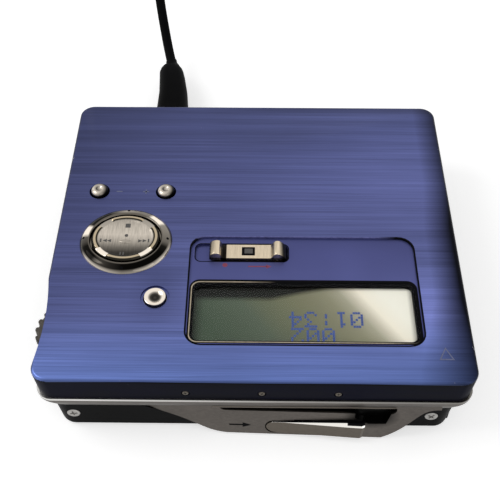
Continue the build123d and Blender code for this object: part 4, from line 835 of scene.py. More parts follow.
def plug_body():
    """Flat tapered plug with soft corners and a shoulder down to the cord."""
    shape = bmesh.new()
    sections = ((35.45, 0.0, 8.2, 6.6), (36.0, 0.0, 8.25, 6.65), (45.05, -0.6, 8.0, 6.4),
                (54.25, -0.95, 7.0, 5.9), (60.0, -1.6, 6.4, 5.5), (62.05, -1.9, 6.1, 5.3),
                (63.2, -2.0, 5.5, 4.9), (64.4, -2.07, 4.4, 4.1))
    loops = [[Vector((PLUG_X + shift + u, y, PLUG_Z + v)) for u, v in rounded_loop(w / 2, h / 2, 0.36 * h)]
             for y, shift, w, h in sections]
    neck = axis_frame(LEAD_ROUTE[0], Vector(LEAD_ROUTE[1]) - Vector(LEAD_ROUTE[0]), -ALONG_X)
    for radius, back in ((1.75, -0.9), (1.42, -0.2), (1.4, 0.9), (1.25, 1.0)):
        flat = [(-u, v) for u, v in rounded_loop(radius, radius, radius * 0.99)]
        loops.append([neck @ Vector((u, v, back)) for u, v in flat])
    add_loft(shape, loops)
    return shape


plug = piece("headphone_plug", plug_body(), "black", "chassis", ("plug_shell",), 40.0)

# Contacts of a 3.5 mm plug from its tip to its sleeve: radius, and distance from the tip.
CONTACTS = ((0.0, 0.0), (0.35, 0.0), (1.05, 0.55), (1.55, 1.6), (1.62, 2.4), (1.2, 3.0), (1.25, 3.5),
            (1.72, 4.2), (1.74, 5.6), (1.66, 5.7), (1.66, 6.1), (1.74, 6.2), (1.74, 8.6), (1.66, 8.7),
            (1.66, 9.1), (1.74, 9.2), (1.74, 14.9), (0.0, 14.9))
turned_piece("headphone_pin", CONTACTS, axis_frame((PLUG_X, 20.52, 4.5), ALONG_Y), "brass", "chassis",
             ("plug_pin",), 32)

far_frame = axis_frame(TAIL_ROUTE[-1], -ALONG_Y)
far_plug = turned_piece(
    "far_plug_body",
    ((0.0, -0.4), (1.4, -0.4), (1.42, 0.2), (1.6, 0.6), (1.4, 1.0), (1.7, 1.5), (1.5, 1.9), (1.82, 2.4),
     (1.62, 2.8), (1.95, 3.3), (1.75, 3.7), (2.05, 4.2), (2.05, 5.0), (2.9, 6.0), (3.0, 6.6), (3.0, 8.0),
     (2.85, 8.15), (3.0, 8.3), (3.0, 9.3), (2.85, 9.45), (3.0, 9.6), (3.0, 14.2), (2.7, 14.85),
     (1.7, 14.95), (0.0, 14.95)),
    far_frame, "black", "chassis", ("far_plug",), 40, 30.0)
turned_piece("far_plug_contacts",
             ((0.0, 14.9), (1.74, 14.9), (1.74, 20.6), (1.66, 20.7), (1.66, 21.1), (1.74, 21.2), (1.74, 23.4),
              (1.66, 23.5), (1.66, 23.9), (1.74, 24.0), (1.74, 25.6), (1.25, 26.3), (1.2, 26.8), (1.62, 27.2),
              (1.55, 27.9), (1.0, 28.7), (0.35, 29.0), (0.0, 29.0)),
             far_frame, "brass", "chassis", ("far_plug_pin",), 32)


def coil_tie():
    """Flat strap once round the bundle, on the side of the coil that lies furthest back."""
    shape = bmesh.new()
    outside, inside = [], []
    for step in range(-3, 4):
        swing = radians(90.0 + 2.8 * step)
        out = Vector((cos(swing), sin(swing), 0))
        centre = COIL_CENTRE + COIL_RADIUS * out
        for loops, radius in ((outside, 5.15), (inside, 5.15 * 0.935)):
            loops.append([centre + out * u + UP * v for u, v in circle_points(radius, 40)])
    add_loft(shape, outside + inside[::-1], caps=False, closed=True)
    return shape


cord_tie = piece("coil_tie", coil_tie(), "black", "chassis", ("cord_tie",), 50.0)


# ======== lid: controls
def ring_height(share):
    """Height of the chrome ring over its slope, from its foot at 0 to its crest at 1."""
    return 1.15 * sin(pi / 2 * min(1.0, share) ** 0.75)


def ring_surface(x, y):
    """Height of the ring's slope at a place on the lid."""
    u, v = (x - PAD.x) / RING_RADII[0], (y - PAD.y) / RING_RADII[1]
    width = sum((1.0 - RING_CREST[k] / RING_RADII[k]) * part for k, part in enumerate((u * u, v * v)))
    share = (1.0 - hypot(u, v)) * (u * u + v * v) / width
    return LID_TOP + ring_height(max(0.0, share))


def pad_height(radius_share, angle):
    """Height of the pad: a shallow dish, with four raised ridges near its rim."""
    dish = 0.3 * (radius_share ** 2) - 0.3
    ridge = max(0.0, 1.0 - ((radius_share - 0.885) / 0.085) ** 2)
    arc = max(0.0, min(1.0, (abs(cos(2 * angle)) - 0.42) * 9.0))
    edge = -0.22 * max(0.0, (radius_share - 0.95) / 0.05) ** 2
    return LID_TOP + 1.15 + dish + 0.3 * sqrt(ridge) * arc + edge


def control_ring():
    """Ring from its foot on the lid up to its crest, down inside it and back under the lid."""
    shape = bmesh.new()
    loops = []
    for share in (step / 16 for step in range(17)):
        radii = [foot + (crest - foot) * share for foot, crest in zip(RING_RADII, RING_CREST)]
        loops.append(ellipse_loop(PAD, radii, LID_TOP + ring_height(share)))
    for radii, wider, height in (
            (RING_CREST, -0.2, 1.13), (RING_CREST, -0.34, 1.02), (RING_CREST, -0.4, 0.85),
            (RING_CREST, -0.4, 0.12), (PAD_NECK, 0.3, 0.07), (PAD_NECK, 0.3, -0.7), (PAD_NECK, 0.8, -0.7),
            (PAD_NECK, 0.8, 0.02), (RING_RADII, -0.02, 0.003)):
        loops.append(ellipse_loop(PAD, [radius + wider for radius in radii], LID_TOP + height))
    add_loft(shape, loops, closed=True)
    return shape


def control_pad():
    """Dish on a neck, with a thin brim over the ring's floor."""
    shape = bmesh.new()
    count = 96
    loops = [ellipse_loop(PAD, radii, height, count) for radii, height in (
        (PAD_NECK, 15.6), (PAD_NECK, LID_TOP + 0.68), (PAD_RADII, LID_TOP + 0.8),
        (PAD_RADII, LID_TOP + 0.88))]
    for share in (1.0, 0.985, 0.965, 0.945, 0.92, 0.89, 0.86, 0.835, 0.81, 0.78, 0.7, 0.55, 0.4, 0.25, 0.1):
        flat = ellipse_loop(PAD, [radius * share for radius in PAD_RADII], 0.0, count)
        loops.append([Vector((p.x, p.y, pad_height(share, 2 * pi * k / count))) for k, p in enumerate(flat)])
    add_loft(shape, loops)
    return shape


piece("control_ring", control_ring(), "ring", "lid", ("nav_ring",), 50.0)
piece("control_pad", control_pad(), "pad", "pad", ("nav_pad",), 45.0)

# The volume keys and the group key: a flange under the lid, then a dome or a hollow.
VOLUME_KEY = ((0.0, -1.55), (2.45, -1.55), (2.45, -0.87), (1.76, -0.85), (1.77, 0.1), (1.7, 0.45),
              (1.53, 0.73), (1.3, 0.9), (1.05, 0.97), (0.75, 0.98), (0.62, 0.94), (0.52, 0.84), (0.4, 0.77),
              (0.0, 0.74))
GROUP_KEY = ((0.0, -1.55), (2.75, -1.55), (2.75, -0.87), (2.08, -0.85), (2.09, 0.1), (2.02, 0.27),
             (1.86, 0.35), (1.6, 0.33), (1.35, 0.18), (1.0, 0.02), (0.5, -0.11), (0.0, -0.15))
for place, body in zip(VOLUME, ("vol_minus", "vol_plus")):
    turned_piece(f"{body}_key", VOLUME_KEY, axis_frame(place, UP), "button", body, (f"{body}_button",))
turned_piece("group_key_cap", GROUP_KEY, axis_frame(GROUP, UP), "group", "group_key", ("group_button",))


# ======== recipes for what repeats
def copies_recipe(name, finish):
    """Copies of one shape on points, each turned by the point's own turn and sized by the input."""
    r = Recipe(name, Shape=None, Size=1.0)
    shape = r.node("GeometryNodeObjectInfo", inputs={"Object": r.given("Shape")}, output="Geometry")
    turn = r.node("GeometryNodeInputNamedAttribute", {"data_type": "FLOAT_VECTOR"}, {"Name": "turn"})
    spread = r.node("GeometryNodeInstanceOnPoints", inputs={
        "Points": r.node("GeometryNodeMeshToPoints", inputs=[Socket(r, r.start.outputs[0])]),
        "Instance": shape, "Rotation": turn, "Scale": r.given("Size")})
    r.close(spread, FINISH[finish])
    return r


def copies(name, shape, finish, body, places, turns, replaced=()):
    """One shape, in millimetres, repeated at places with turns, as one plain mesh on a body."""
    pattern = bpy.data.objects.new(f"{name}_shape", to_mesh(f"{name}_shape", shape, finish))
    thing = copies_recipe(f"{name}_copies", finish).grow(name, points_mesh(f"{name}_points", places, turns),
                                                         Shape=pattern)
    bpy.data.objects.remove(pattern)
    return settle(thing, body, replaced)


def wheel_recipe(finish):
    """Toothed wheel round Z: a turned blank with teeth set round it."""
    r = Recipe("toothed_wheel", Blank=None, Tooth=None, Teeth=20, Radius=6.0 * MM)
    ring = r.node("GeometryNodeMeshCircle", {"fill_type": "NONE"},
                  {"Vertices": r.given("Teeth"), "Radius": r.given("Radius")})
    spot = r.node("ShaderNodeSeparateXYZ", inputs=[r.node("GeometryNodeInputPosition")])
    x, y, z = (Socket(r, out) for out in spot.output.node.outputs)
    teeth = r.node("GeometryNodeInstanceOnPoints", inputs={
        "Points": ring, "Rotation": r.node("ShaderNodeCombineXYZ", inputs={2: r.math("ARCTAN2", y, x)}),
        "Instance": r.node("GeometryNodeObjectInfo", inputs={"Object": r.given("Tooth")}, output="Geometry")})
    blank = r.node("GeometryNodeObjectInfo", inputs={"Object": r.given("Blank")}, output="Geometry")
    both = r.tree.nodes.new("GeometryNodeJoinGeometry")
    for part in (blank, teeth):
        r.tree.links.new(part.output, both.inputs[0])
    r.close(Socket(r, both.outputs[0]), FINISH[finish])
    return r


def sunk_screw(radius, depth):
    """Crossed screw head: a low turned disc with a cross sunk into its top."""
    shape = bmesh.new()
    half, reach = 0.13 * radius, 0.62 * radius
    cross = [(reach, -half), (reach, half), (half, half), (half, reach), (-half, reach), (-half, half),
             (-reach, half), (-reach, -half), (-half, -half), (-half, -reach), (half, -reach), (half, -half)]
    rows = [[shape.verts.new((u, v, h)) for u, v in circle_points(radius * share, 32)]
            for share, h in ((1.0, -depth), (1.0, -0.25 * depth), (0.93, -0.05 * depth), (0.8, 0.0))]
    edge = [shape.verts.new((u, v, 0)) for u, v in cross]
    floor = [shape.verts.new((0.8 * u, 0.8 * v, -0.6 * depth)) for u, v in cross]
    for lower, upper in (*zip(rows, rows[1:]), (edge[::-1], floor[::-1])):
        for index, corner in enumerate(lower):
            after = (index + 1) % len(lower)
            shape.faces.new((corner, lower[after], upper[after], upper[index]))
    shape.faces.new(rows[0][::-1])
    shape.faces.new(floor)
    borders = [shape.edges.get((loop[k - 1], loop[k])) for loop in (edge, rows[-1]) for k in range(len(loop))]
    bmesh.ops.triangle_fill(shape, edges=borders, use_beauty=True)
    return shape


def facing(direction, turn=0.0):
    """Rotation that takes +Z to a direction, after a turn about it."""
    return axis_frame((0, 0, 0), direction).to_3x3() @ Matrix.Rotation(radians(turn), 3, "Z")


# ======== screws, ribs, jog dial and gears
FRONT, BELOW = -ALONG_Y, -UP
copies("front_skirt_screws", sunk_screw(0.58, 0.35), "silver", "lid",
       [(x, -35.8, 12.8) for x in (-12.2, 1.4, 15.0)], [facing(FRONT, turn) for turn in (20, 65, 10)],
       ("skirt_screws",))
FOOT_SCREWS = (
    ((-33.4, -35.42, 4.6), FRONT, 12), ((32.7, -35.42, 4.6), FRONT, 50), ((-33.0, 31.5, 0.03), BELOW, 10),
    ((33.0, 31.5, 0.03), BELOW, 40), ((-33.0, -11.0, 0.03), BELOW, 75), ((33.5, -12.0, 0.03), BELOW, 22))
copies("foot_screws", sunk_screw(1.2, 0.4), "dull_steel", "chassis",
       [place for place, way, turn in FOOT_SCREWS], [facing(way, turn) for place, way, turn in FOOT_SCREWS],
       ("cover_screws",))

# Finger ribs on the battery door.
rib = bmesh.new()
add_loft(rib, [placed(rounded_loop(1.5 - step, 0.17 - step, 0.16 - step, 3), 0, 0, height)
               for step, height in ((0.0, -0.1), (0.0, 0.12), (0.05, 0.2), (0.12, 0.24))])
copies("door_grip_ribs", rib, "black_metal", "battery_lid", [(36.5, -32.2 + 0.75 * k, 4.0) for k in range(5)],
       [facing(ALONG_X)] * 5)

# Bright collars in the two open sockets at the back.
for node in ("line_in_jack", "power_jack"):
    low, high = (corner / MM for corner in map(Vector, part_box(node)))
    shape = bmesh.new()
    add_turned(shape, ((2.05, 0.0), (2.5, 0.0), (2.5, 0.16), (2.42, 0.22), (2.13, 0.22), (2.05, 0.16)),
               axis_frame(((low.x + high.x) / 2, BACK_FACE, (low.z + high.z) / 2), ALONG_Y), caps=False)
    piece(f"{node}_collar", shape, "dull_steel", "chassis", (), 30.0)


def wheel(name, finish, body, profile, outline, teeth, radius, thickness, where, replaced):
    """Wheel with teeth, grown round Z and then put in its place."""
    blank, tooth = bmesh.new(), bmesh.new()
    add_turned(blank, profile, Matrix.Identity(4), 80)
    add_prism(tooth, outline, Matrix.Translation((0, 0, thickness[0])), thickness[1] - thickness[0])
    patterns = [bpy.data.objects.new(f"{name}_{part}", to_mesh(f"{name}_{part}", shape, finish, 30.0))
                for part, shape in (("blank", blank), ("tooth", tooth))]
    thing = wheel_recipe(finish).grow(name, bpy.data.meshes.new(f"{name}_start"), Blank=patterns[0],
                                      Tooth=patterns[1], Teeth=teeth, Radius=radius * MM)
    for pattern in patterns:
        bpy.data.objects.remove(pattern)
    move = where.copy()
    move.translation = where.translation * MM
    thing.data.transform(move)
    return settle(thing, body, replaced)


def gear_tooth(module):
    """Side view of a small gear's tooth, which points along X."""
    return [(-0.12, -0.6 * module), (1.75 * module, -0.24 * module), (1.75 * module, 0.24 * module),
            (-0.12, 0.6 * module)]


wheel("jog_wheel", "jog", "jog",
      ((0.0, 0.0), (5.55, 0.0), (5.78, 0.15), (5.78, 1.65), (5.55, 1.8), (4.6, 1.8), (4.4, 1.62), (2.2, 1.62),
       (2.0, 1.8), (0.0, 1.8)),
      [(-0.25, -0.52), (0.3, -0.47), (0.48, -0.24), (0.48, 0.24), (0.3, 0.47), (-0.25, 0.52)],
      20, 5.8, (0.12, 1.68), Matrix.Translation(JOG), ("jog_dial",))
for name, body, finish, node, slot, teeth, phase, y, hub in (
        ("screw_wheel", "screw", "white", "screw_gear", "grey_plastic", 14, 0.0, 13.5,
         lambda root: ((0.7 * root, 1.4), (0.66 * root, 1.32), (0.0, 1.32))),
        ("pinion_wheel", "pinion", "brass", "motor_pinion", "brass", 10, 18.0, 17.1,
         lambda root: ((0.4, 1.4), (0.4, 2.6), (0.0, 2.6)))):
    root = 0.15 * teeth - 0.33
    where = axis_frame((GEAR_X, y, GEAR_Z), ALONG_X, ALONG_Y) @ Matrix.Rotation(radians(phase), 4, "Z")
    wheel(name, finish, body, ((0.0, 0.0), (root, 0.0), (root, 1.4), *hub(root)), gear_tooth(0.3),
          teeth, root, (0.0, 1.4), where, (node,))


# ======== lid: shell
def lid_shell():
    """The lid's sheet: brushed on top and in the opening for the display, dark below its top edge."""
    mesh = to_mesh("lid_shell", solid_copy("lid_panel"), "lid", 32.0)
    mesh.materials.append(FINISH["skirt"])
    for face in mesh.polygons:
        place = face.center / MM
        opening = -13.5 < place.x < 31.7 and -29.0 < place.y < -1.8 and face.normal.z > -0.5
        if place.z < LID_TOP - 0.5 and not opening:
            face.material_index = 1
    return mesh


settle(linked("lid_shell", lid_shell()), "lid", ("lid_panel",))


# ======== front: opening knob and groove
FACE = axis_frame(FACE_ORIGIN, FACE_OUT, (cos(FACE_TURN), -sin(FACE_TURN), 0))
KNOB_HEEL, KNOB_TIP, KNOB_BODY = -4.9, 11.4, 8.2
KNOB_FACET = 0.62


def knob_edges(u):
    """Lower and upper edge of the knob at a place along it."""
    if u < KNOB_HEEL:
        half = 1.475 * sqrt(max(0.0, 1.0 - ((u - KNOB_HEEL) / 1.85) ** 2))
        return -0.975 - half, -0.975 + half
    share = (u - KNOB_HEEL) / (KNOB_TIP - KNOB_HEEL)
    return -2.45 + 0.4 * share, 0.5 + 0.95 * share


def facet_width(u):
    """Width of the polished facet along the knob's upper edge: none at the heel, full near the tip."""
    return KNOB_FACET * max(0.0, min(1.0, (u + 3.5) / 13.0))


def opening_knob():
    """Wedge that rises to the right, with a polished facet that widens along its upper edge."""
    shape = bmesh.new()
    loops = []
    for u in (-6.74, -6.7, -6.6, -6.4, -6.1, -5.7, -5.3, KNOB_HEEL, -3.0, -1.0, 2.0, 5.0,
              KNOB_BODY, KNOB_BODY + 0.05, 10.0, 10.9, 11.3, KNOB_TIP):
        low, high = knob_edges(u)
        proud = 1.4 * (min(u, 10.9) + 7.4) / 18.3 - max(0.0, u - 10.9) * 0.5
        facet = facet_width(u)
        back = -0.45 if u <= KNOB_BODY else 0.12
        lean = 0.13 * max(0.0, (u - 5.0) / 6.4)
        line = high - 0.9 * facet - 0.02
        stripe = (high - line) * 0.42
        section = ((low, back), (low, proud - 0.12), (low + 0.1, proud), (line, proud),
                   (line + stripe, proud - 0.42 * facet), (high, proud - facet - 0.02), (high, back))
        loops.append([FACE @ Vector((u + (v - 1.45) * lean, v, w)) for v, w in section])
    add_loft(shape, loops)
    mesh = to_mesh("opening_knob", shape, "silver", 20.0)
    # Painted reflection and shade: the facet's upper part and the knob's upper faces take the dark finish,
    # the rest of the facet the bright one.
    for finish in ("facet", "dark"):
        mesh.materials.append(FINISH[finish])
    facet_way = FACE.to_3x3() @ Vector((0, 0.72, 0.69))
    upper_way = FACE.to_3x3() @ ALONG_Y
    for face in mesh.polygons:
        place = FACE.inverted() @ (face.center / MM)
        if face.normal.dot(facet_way) > 0.93:
            shaded = knob_edges(place.x)[1] - place.y < 0.27 * facet_width(place.x)
            face.material_index = 2 if shaded else 1
        elif face.normal.dot(upper_way) > 0.9:
            face.material_index = 2
    return mesh


settle(linked("opening_knob", opening_knob()), "open_latch", ("open_knob",))

# Rolled lower edge of the band above the groove.
ROLL = ((-35.0, 8.15), (-35.62, 8.15), (-35.66, 7.95), (-35.66, 7.75), (-35.58, 7.58), (-35.42, 7.46),
        (-35.2, 7.4), (-34.95, 7.4))
shape = bmesh.new()
add_loft(shape, [[Vector((x, y, z)) for y, z in ROLL] for x in (-7.6, 27.2)])
piece("groove_roll", shape, "silver", "chassis", (), 50.0)

# Raised arrow that shows which way the knob slides.
shape = bmesh.new()
for outline in ([(-13.6, -0.85), (-11.0, -0.85), (-11.0, -0.55), (-13.6, -0.55)],
                [(-11.1, -1.3), (-9.6, -0.7), (-11.1, -0.1)]):
    add_prism(shape, outline, FACE @ Matrix.Translation((0, 0, -0.02)), 0.06)
piece("slide_arrow", shape, "dark", "chassis", ())


# ======== lid: display
def flat_border(name, finish, span_x, span_y, widths, radius, z):
    """Flat frame round an opening; its width is given along X and along Y."""
    shape = bmesh.new()
    centre = (sum(span_x) / 2, sum(span_y) / 2)
    half = ((span_x[1] - span_x[0]) / 2, (span_y[1] - span_y[0]) / 2)
    outer = rounded_loop(*half, radius)
    inner = rounded_loop(half[0] - widths[0], half[1] - widths[1], radius - 0.6 * min(widths))
    add_loft(shape, [placed(loop, *centre, height) for loop, height in (
        (outer, z[0]), (outer, z[1]), (inner, z[1]), (inner, z[0]))], caps=False, closed=True)
    piece(name, shape, finish, "lid", ())


FLUSH = (BEZEL_TOP - 0.02, BEZEL_TOP + 0.01)
# The flat rings round the window's gap, the switch track and the bezel are painted shadow over the gaps
# there; the bezel's has a painted highlight on its far side.
for name, finish, span_x, span_y, widths, radius, heights, slot in (
        ("window_gap", "dark", (-12.4, 30.6), (-27.72, -13.15), (0.5, 0.6), 1.9, FLUSH, "black_plastic"),
        ("window_border", "window_seam", (-12.1, 30.3), (-27.5, -13.62), (0.2, 0.2), 1.6,
         (BEZEL_TOP - 0.25, BEZEL_TOP + 0.05), "champagne"),
        ("window_wall", "dark", (-12.08, 30.18), (-27.68, -13.82), (0.62, 0.62), 1.58,
         (DISPLAY_TOP + 0.015, BEZEL_TOP - 0.05), "black_plastic"),
        ("switch_rim", "dark", (-11.85, 6.55), (-8.85, -4.15), (0.17, 0.17), 1.25, FLUSH, "black_plastic"),
        ("bezel_outline", "seam_and_painted_light", (-12.86, 31.06), (-28.4, -2.5), (0.28, 0.3), 3.1,
         (LID_TOP - 0.45, LID_TOP + 0.006), "black_plastic")):
    flat_border(name, finish, span_x, span_y, widths, radius, heights)

# Figures of five by seven dots, row by row from the top.
DOT_PITCH_X, DOT_PITCH_Y, FIGURE_PITCH = 0.474, 0.51, 2.84
DIGITS = {
    "0": "01110 10001 10011 10101 11001 10001 01110", "1": "00100 01100 00100 00100 00100 00100 01110",
    "2": "01110 10001 00001 00010 00100 01000 11111", "3": "11111 00010 00100 00010 00001 10001 01110",
    "4": "00010 00110 01010 10010 11111 00010 00010", ":": "00000 00100 00100 00000 00100 00100 00000",
}


def dot_places(text, right, near, rows=range(7)):
    """Lit dots of a line of figures that is read from the hinge side: it runs to -X, its top towards -Y."""
    for index, sign in enumerate(text):
        for row in rows:
            for column, lit in enumerate(DIGITS[sign].split()[row]):
                if lit == "1":
                    yield (right - FIGURE_PITCH * index - DOT_PITCH_X * column,
                           near + DOT_PITCH_Y * (row - rows[0]), DISPLAY_TOP)


def dot_recipe():
    """Square dots on points."""
    r = Recipe("dot_matrix", Dot_Width=0.435 * MM, Dot_Depth=0.47 * MM, Dot_Height=0.02 * MM)
    size = r.node("ShaderNodeCombineXYZ",
                  inputs=[r.given(f"Dot_{side}") for side in ("Width", "Depth", "Height")])
    dots = r.node("GeometryNodeInstanceOnPoints", inputs={
        "Points": r.node("GeometryNodeMeshToPoints", inputs=[Socket(r, r.start.outputs[0])]),
        "Instance": r.node("GeometryNodeMeshCube", inputs={"Size": size})})
    r.close(dots, FINISH["digit"])
    return r


# The lower figures lose their top row under the window's edge.
dots = [*dot_places("01:34", 19.8, -23.3), *dot_places("002", 14.45, -26.45, range(1, 7))]
settle(dot_recipe().grow("display_figures", points_mesh("figure_points", dots)), "lid", ())


# ======== lid: record switch
RECORD_SIDE = (
    (-8.5, 16.3), (-8.52, 16.74), (-8.96, 16.95), (-8.95, 17.6), (-8.8, 18.05), (-8.45, 18.4),
    (-7.95, 18.62), (-7.4, 18.68), (-7.0, 18.55), (-6.75, 18.2), (-6.6, 17.75), (-6.4, 17.42), (-6.1, 17.3),
    (-5.7, 17.3), (-5.5, 17.35), (2.6, 17.35), (3.0, 17.42), (3.3, 17.75), (3.55, 18.2), (3.9, 18.52),
    (4.3, 18.62), (4.7, 18.5), (5.2, 18.1), (5.7, 17.5), (6.05, 16.9), (6.2, 16.3),
)


def record_knob():
    """Flat plate between two raised bumps, as its side view has it, on a stem down to the slider."""
    shape = bmesh.new()
    middle = sum(x for x, z in RECORD_SIDE) / len(RECORD_SIDE)
    loops = []
    for y, inset in ((-8.3, 0.13), (-8.25, 0.05), (-8.15, 0.0), (-5.05, 0.0), (-4.95, 0.05), (-4.9, 0.13)):
        loops.append([Vector((x + (0.13 if x < middle else -0.13) * inset, y,
                              z - (0.9 * inset if z > 16.4 else 0.0))) for x, z in RECORD_SIDE])
    add_loft(shape, loops)
    add_prism(shape, bar(-1.0, -6.5, 2.5, 0.7), Matrix.Translation((0, 0, 15.85)), 0.5)
    return shape


piece("record_knob", record_knob(), "champagne", "record_switch", ("rec_knob",), 32.0)
# The dark plate in the switch track is painted shadow under the knob.
for name, finish, body, loop, x, y, heights, slot in (
        ("record_knob_window", "dark", "record_switch", rounded_loop(1.28, 1.05, 0.12, 3), -1.38, -6.65,
         (17.34, 17.365), "black_plastic"),
        ("record_knob_tile", "mark", "record_switch", rounded_loop(0.8, 0.6, 0.1, 3), -1.33, -6.6,
         (17.355, 17.38), "grey_plastic"),
        ("switch_slot", "dark", "lid", rounded_loop(7.6, 2.15, 1.3), -1.25, -6.5,
         (16.2, 16.275), "black_plastic")):
    shape = bmesh.new()
    add_loft(shape, [placed(loop, x, y, height) for height in heights])
    piece(name, shape, finish, body, ())


# ======== marks on the lid
def flat_mark(shape, outline, height):
    """Thin patch of ink on a level place."""
    add_prism(shape, outline, Matrix.Translation((0, 0, height - 0.005)), 0.02)


def draped_mark(shape, outline, surface):
    """Thin patch of ink that follows a curved surface."""
    add_loft(shape, [[Vector((x, y, surface(x, y) + h)) for x, y in outline] for h in (-0.03, 0.02)])


def draped_dot(shape, x, y, radius):
    """Small round dot lying on the slope of the ring."""
    ahead = Vector((ring_surface(x - 0.05, y) - ring_surface(x + 0.05, y),
                    ring_surface(x, y - 0.05) - ring_surface(x, y + 0.05), 0.1))
    add_turned(shape, ((0.0, 0.0), (radius, 0.0), (radius, 0.07), (0.0, 0.07)),
               axis_frame((x, y, ring_surface(x, y) - 0.05), ahead), 20)


def disc(x, y, radius, count=24):
    return [(x + u, y + v) for u, v in circle_points(radius, count)]


def arrow(x, y, size, way=1):
    """Triangle pointing along X."""
    return [(x - way * size, y - size), (x + way * size, y), (x - way * size, y + size)][::way]


def on_pad(x, y):
    """Height of the pad's dish at a place."""
    return pad_height(hypot((x - PAD.x) / PAD_RADII[0], (y - PAD.y) / PAD_RADII[1]), 0.0)


# A minus and a plus between the volume keys.
shape = bmesh.new()
for outline in (bar(-28.2, 9.35, 0.62, 0.14), bar(-22.7, 9.35, 0.62, 0.14), bar(-22.7, 9.35, 0.14, 0.62)):
    flat_mark(shape, outline, LID_TOP)
piece("volume_marks", shape, "legend", "lid", ())

shape = bmesh.new()
for x, y in ((-8.25, 0.0), (8.25, 0.0), (0.0, -7.4), (0.0, 7.2)):
    draped_dot(shape, PAD.x + x, PAD.y + y, 0.27)
piece("ring_dots", shape, "dark", "lid", ())

# Marks on the pad: stop, back, on, pause and a dot.
shape = bmesh.new()
draped_mark(shape, bar(PAD.x + 0.2, PAD.y + 3.25, 0.5, 0.5), on_pad)
for way, start in ((-1, PAD.x - 4.1), (1, PAD.x + 3.9)):
    for step in (-0.95, -0.1):
        draped_mark(shape, arrow(start + way * step, PAD.y - 0.65, 0.4, way), on_pad)
    draped_mark(shape, bar(start + way * 0.68, PAD.y - 0.65, 0.14, 0.42), on_pad)
for x in (-0.62, -0.05):
    draped_mark(shape, bar(PAD.x + x, PAD.y - 3.95, 0.15, 0.42), on_pad)
draped_mark(shape, disc(PAD.x + 0.1, PAD.y + 0.75, 0.36), on_pad)
piece("pad_marks", shape, "mark", "pad", ())

# Lens-shaped bump for the finger in the middle of the pad.
shape = bmesh.new()
loops = []
for share, height in ((1.0, -0.05), (0.98, 0.02), (0.8, 0.11), (0.45, 0.18), (0.12, 0.2)):
    outline = [(PAD.x + 1.25 * share * u, PAD.y - 0.8 + 0.47 * share * v * (1 - 0.35 * abs(u) ** 3))
               for u, v in circle_points(1.0, 40)]
    loops.append([Vector((x, y, on_pad(x, y) + height)) for x, y in outline])
add_loft(shape, loops)
piece("pad_bump", shape, "pad", "pad", (), 50.0)

# Dot and arrow by the record switch.
shape = bmesh.new()
for outline in (disc(-5.85, -9.6, 0.5), arrow(2.6, -9.9, 0.5), bar(0.4, -9.9, 1.8, 0.14)):
    flat_mark(shape, outline, BEZEL_TOP)
piece("record_marks", shape, "red", "lid", ())

# Outlined arrowhead that shows which way a disc goes in.
shape = bmesh.new()
corners = [Vector((32.75, -31.1)), Vector((35.5, -31.1)), Vector((34.1, -28.4))]
middle = sum(corners, Vector((0, 0))) / 3
inner = [middle + (corner - middle) * 0.72 for corner in corners]
add_loft(shape, [placed(loop, 0, 0, LID_TOP + height) for loop, height in (
    (corners, -0.01), (corners, 0.015), (inner, 0.015), (inner, -0.01))], caps=False, closed=True)
piece("insert_arrow", shape, "legend", "lid", ())


# ======== floor and light
def seen_directly(graph):
    """1 for what the camera, mirrors and glass see, 0 for light that falls on the object."""
    path = graph.tree.nodes.new("ShaderNodeLightPath")
    ways = [Socket(graph, path.outputs[way])
            for way in ("Is Camera Ray", "Is Glossy Ray", "Is Transmission Ray")]
    return graph.node("ShaderNodeMath", {"operation": "ADD", "use_clamp": True}, [ways[0] + ways[1], ways[2]])


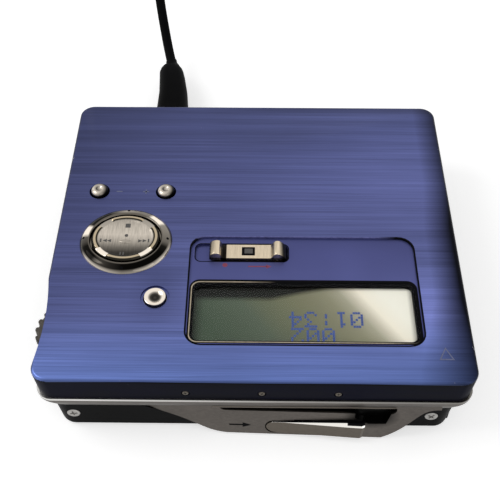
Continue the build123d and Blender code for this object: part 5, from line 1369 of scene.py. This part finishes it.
def ground(albedo, lift):
    """Pale floor: a little light of its own makes it white where it is seen, with the shadow still on it.
    It is clear from below."""
    material = bpy.data.materials.new("ground")
    material.use_nodes = True
    graph = Graph(material.node_tree)
    graph.tree.nodes.clear()
    matt = graph.node("ShaderNodeBsdfDiffuse", inputs={"Color": (albedo, albedo, albedo, 1.0)})
    glow = graph.node("ShaderNodeEmission", inputs={"Strength": seen_directly(graph) * lift})
    both = graph.node("ShaderNodeAddShader", inputs=[matt, glow])
    below = graph.node("ShaderNodeNewGeometry", output="Backfacing")
    clear = graph.node("ShaderNodeBsdfTransparent")
    end = graph.tree.nodes.new("ShaderNodeOutputMaterial")
    graph.feed(end.inputs[0], graph.node("ShaderNodeMixShader", inputs=[below, both, clear]))
    return material


def soft_lamp(name, where, aim, power, size):
    """Round area lamp that points at a place."""
    lamp = bpy.data.lights.new(name, "AREA")
    lamp.shape = "DISK"
    lamp.energy = power
    lamp.size = size
    thing = linked(name, lamp)
    thing.location = where
    thing.rotation_euler = (Vector(where) - Vector(aim)).to_track_quat("Z", "Y").to_euler()


# The floor lies a hair below the bottom cover, so that the two can be told apart from below.
floor_shape = bmesh.new()
bmesh.ops.create_circle(floor_shape, cap_ends=True, segments=96, radius=4.0)
bmesh.ops.translate(floor_shape, vec=(0, 0, -0.05 * MM), verts=floor_shape.verts)
floor_mesh = bpy.data.meshes.new("floor")
floor_shape.to_mesh(floor_mesh)
floor_shape.free()
floor_mesh.materials.append(ground(0.80, 0.55))
floor = linked("floor", floor_mesh)

AMBIENT = 0.5
world = bpy.data.worlds.new("studio")
bpy.context.scene.world = world
world.use_nodes = True
sky = Graph(world.node_tree)
sky.tree.nodes.clear()
backdrop = sky.node("ShaderNodeBackground", inputs={
    "Color": (1.0, 1.0, 1.0, 1.0), "Strength": seen_directly(sky) * (1.0 - AMBIENT) + AMBIENT})
sky.feed(sky.tree.nodes.new("ShaderNodeOutputWorld").inputs[0], backdrop)

soft_lamp("window_light", (-0.62, 0.05, 0.62), (0, 0.02, 0), 2.0, 0.5)
soft_lamp("front_fill", (0.45, -0.65, 0.45), (0, 0, 0), 0.8, 0.7)

bpy.context.scene.view_settings.view_transform = "Standard"
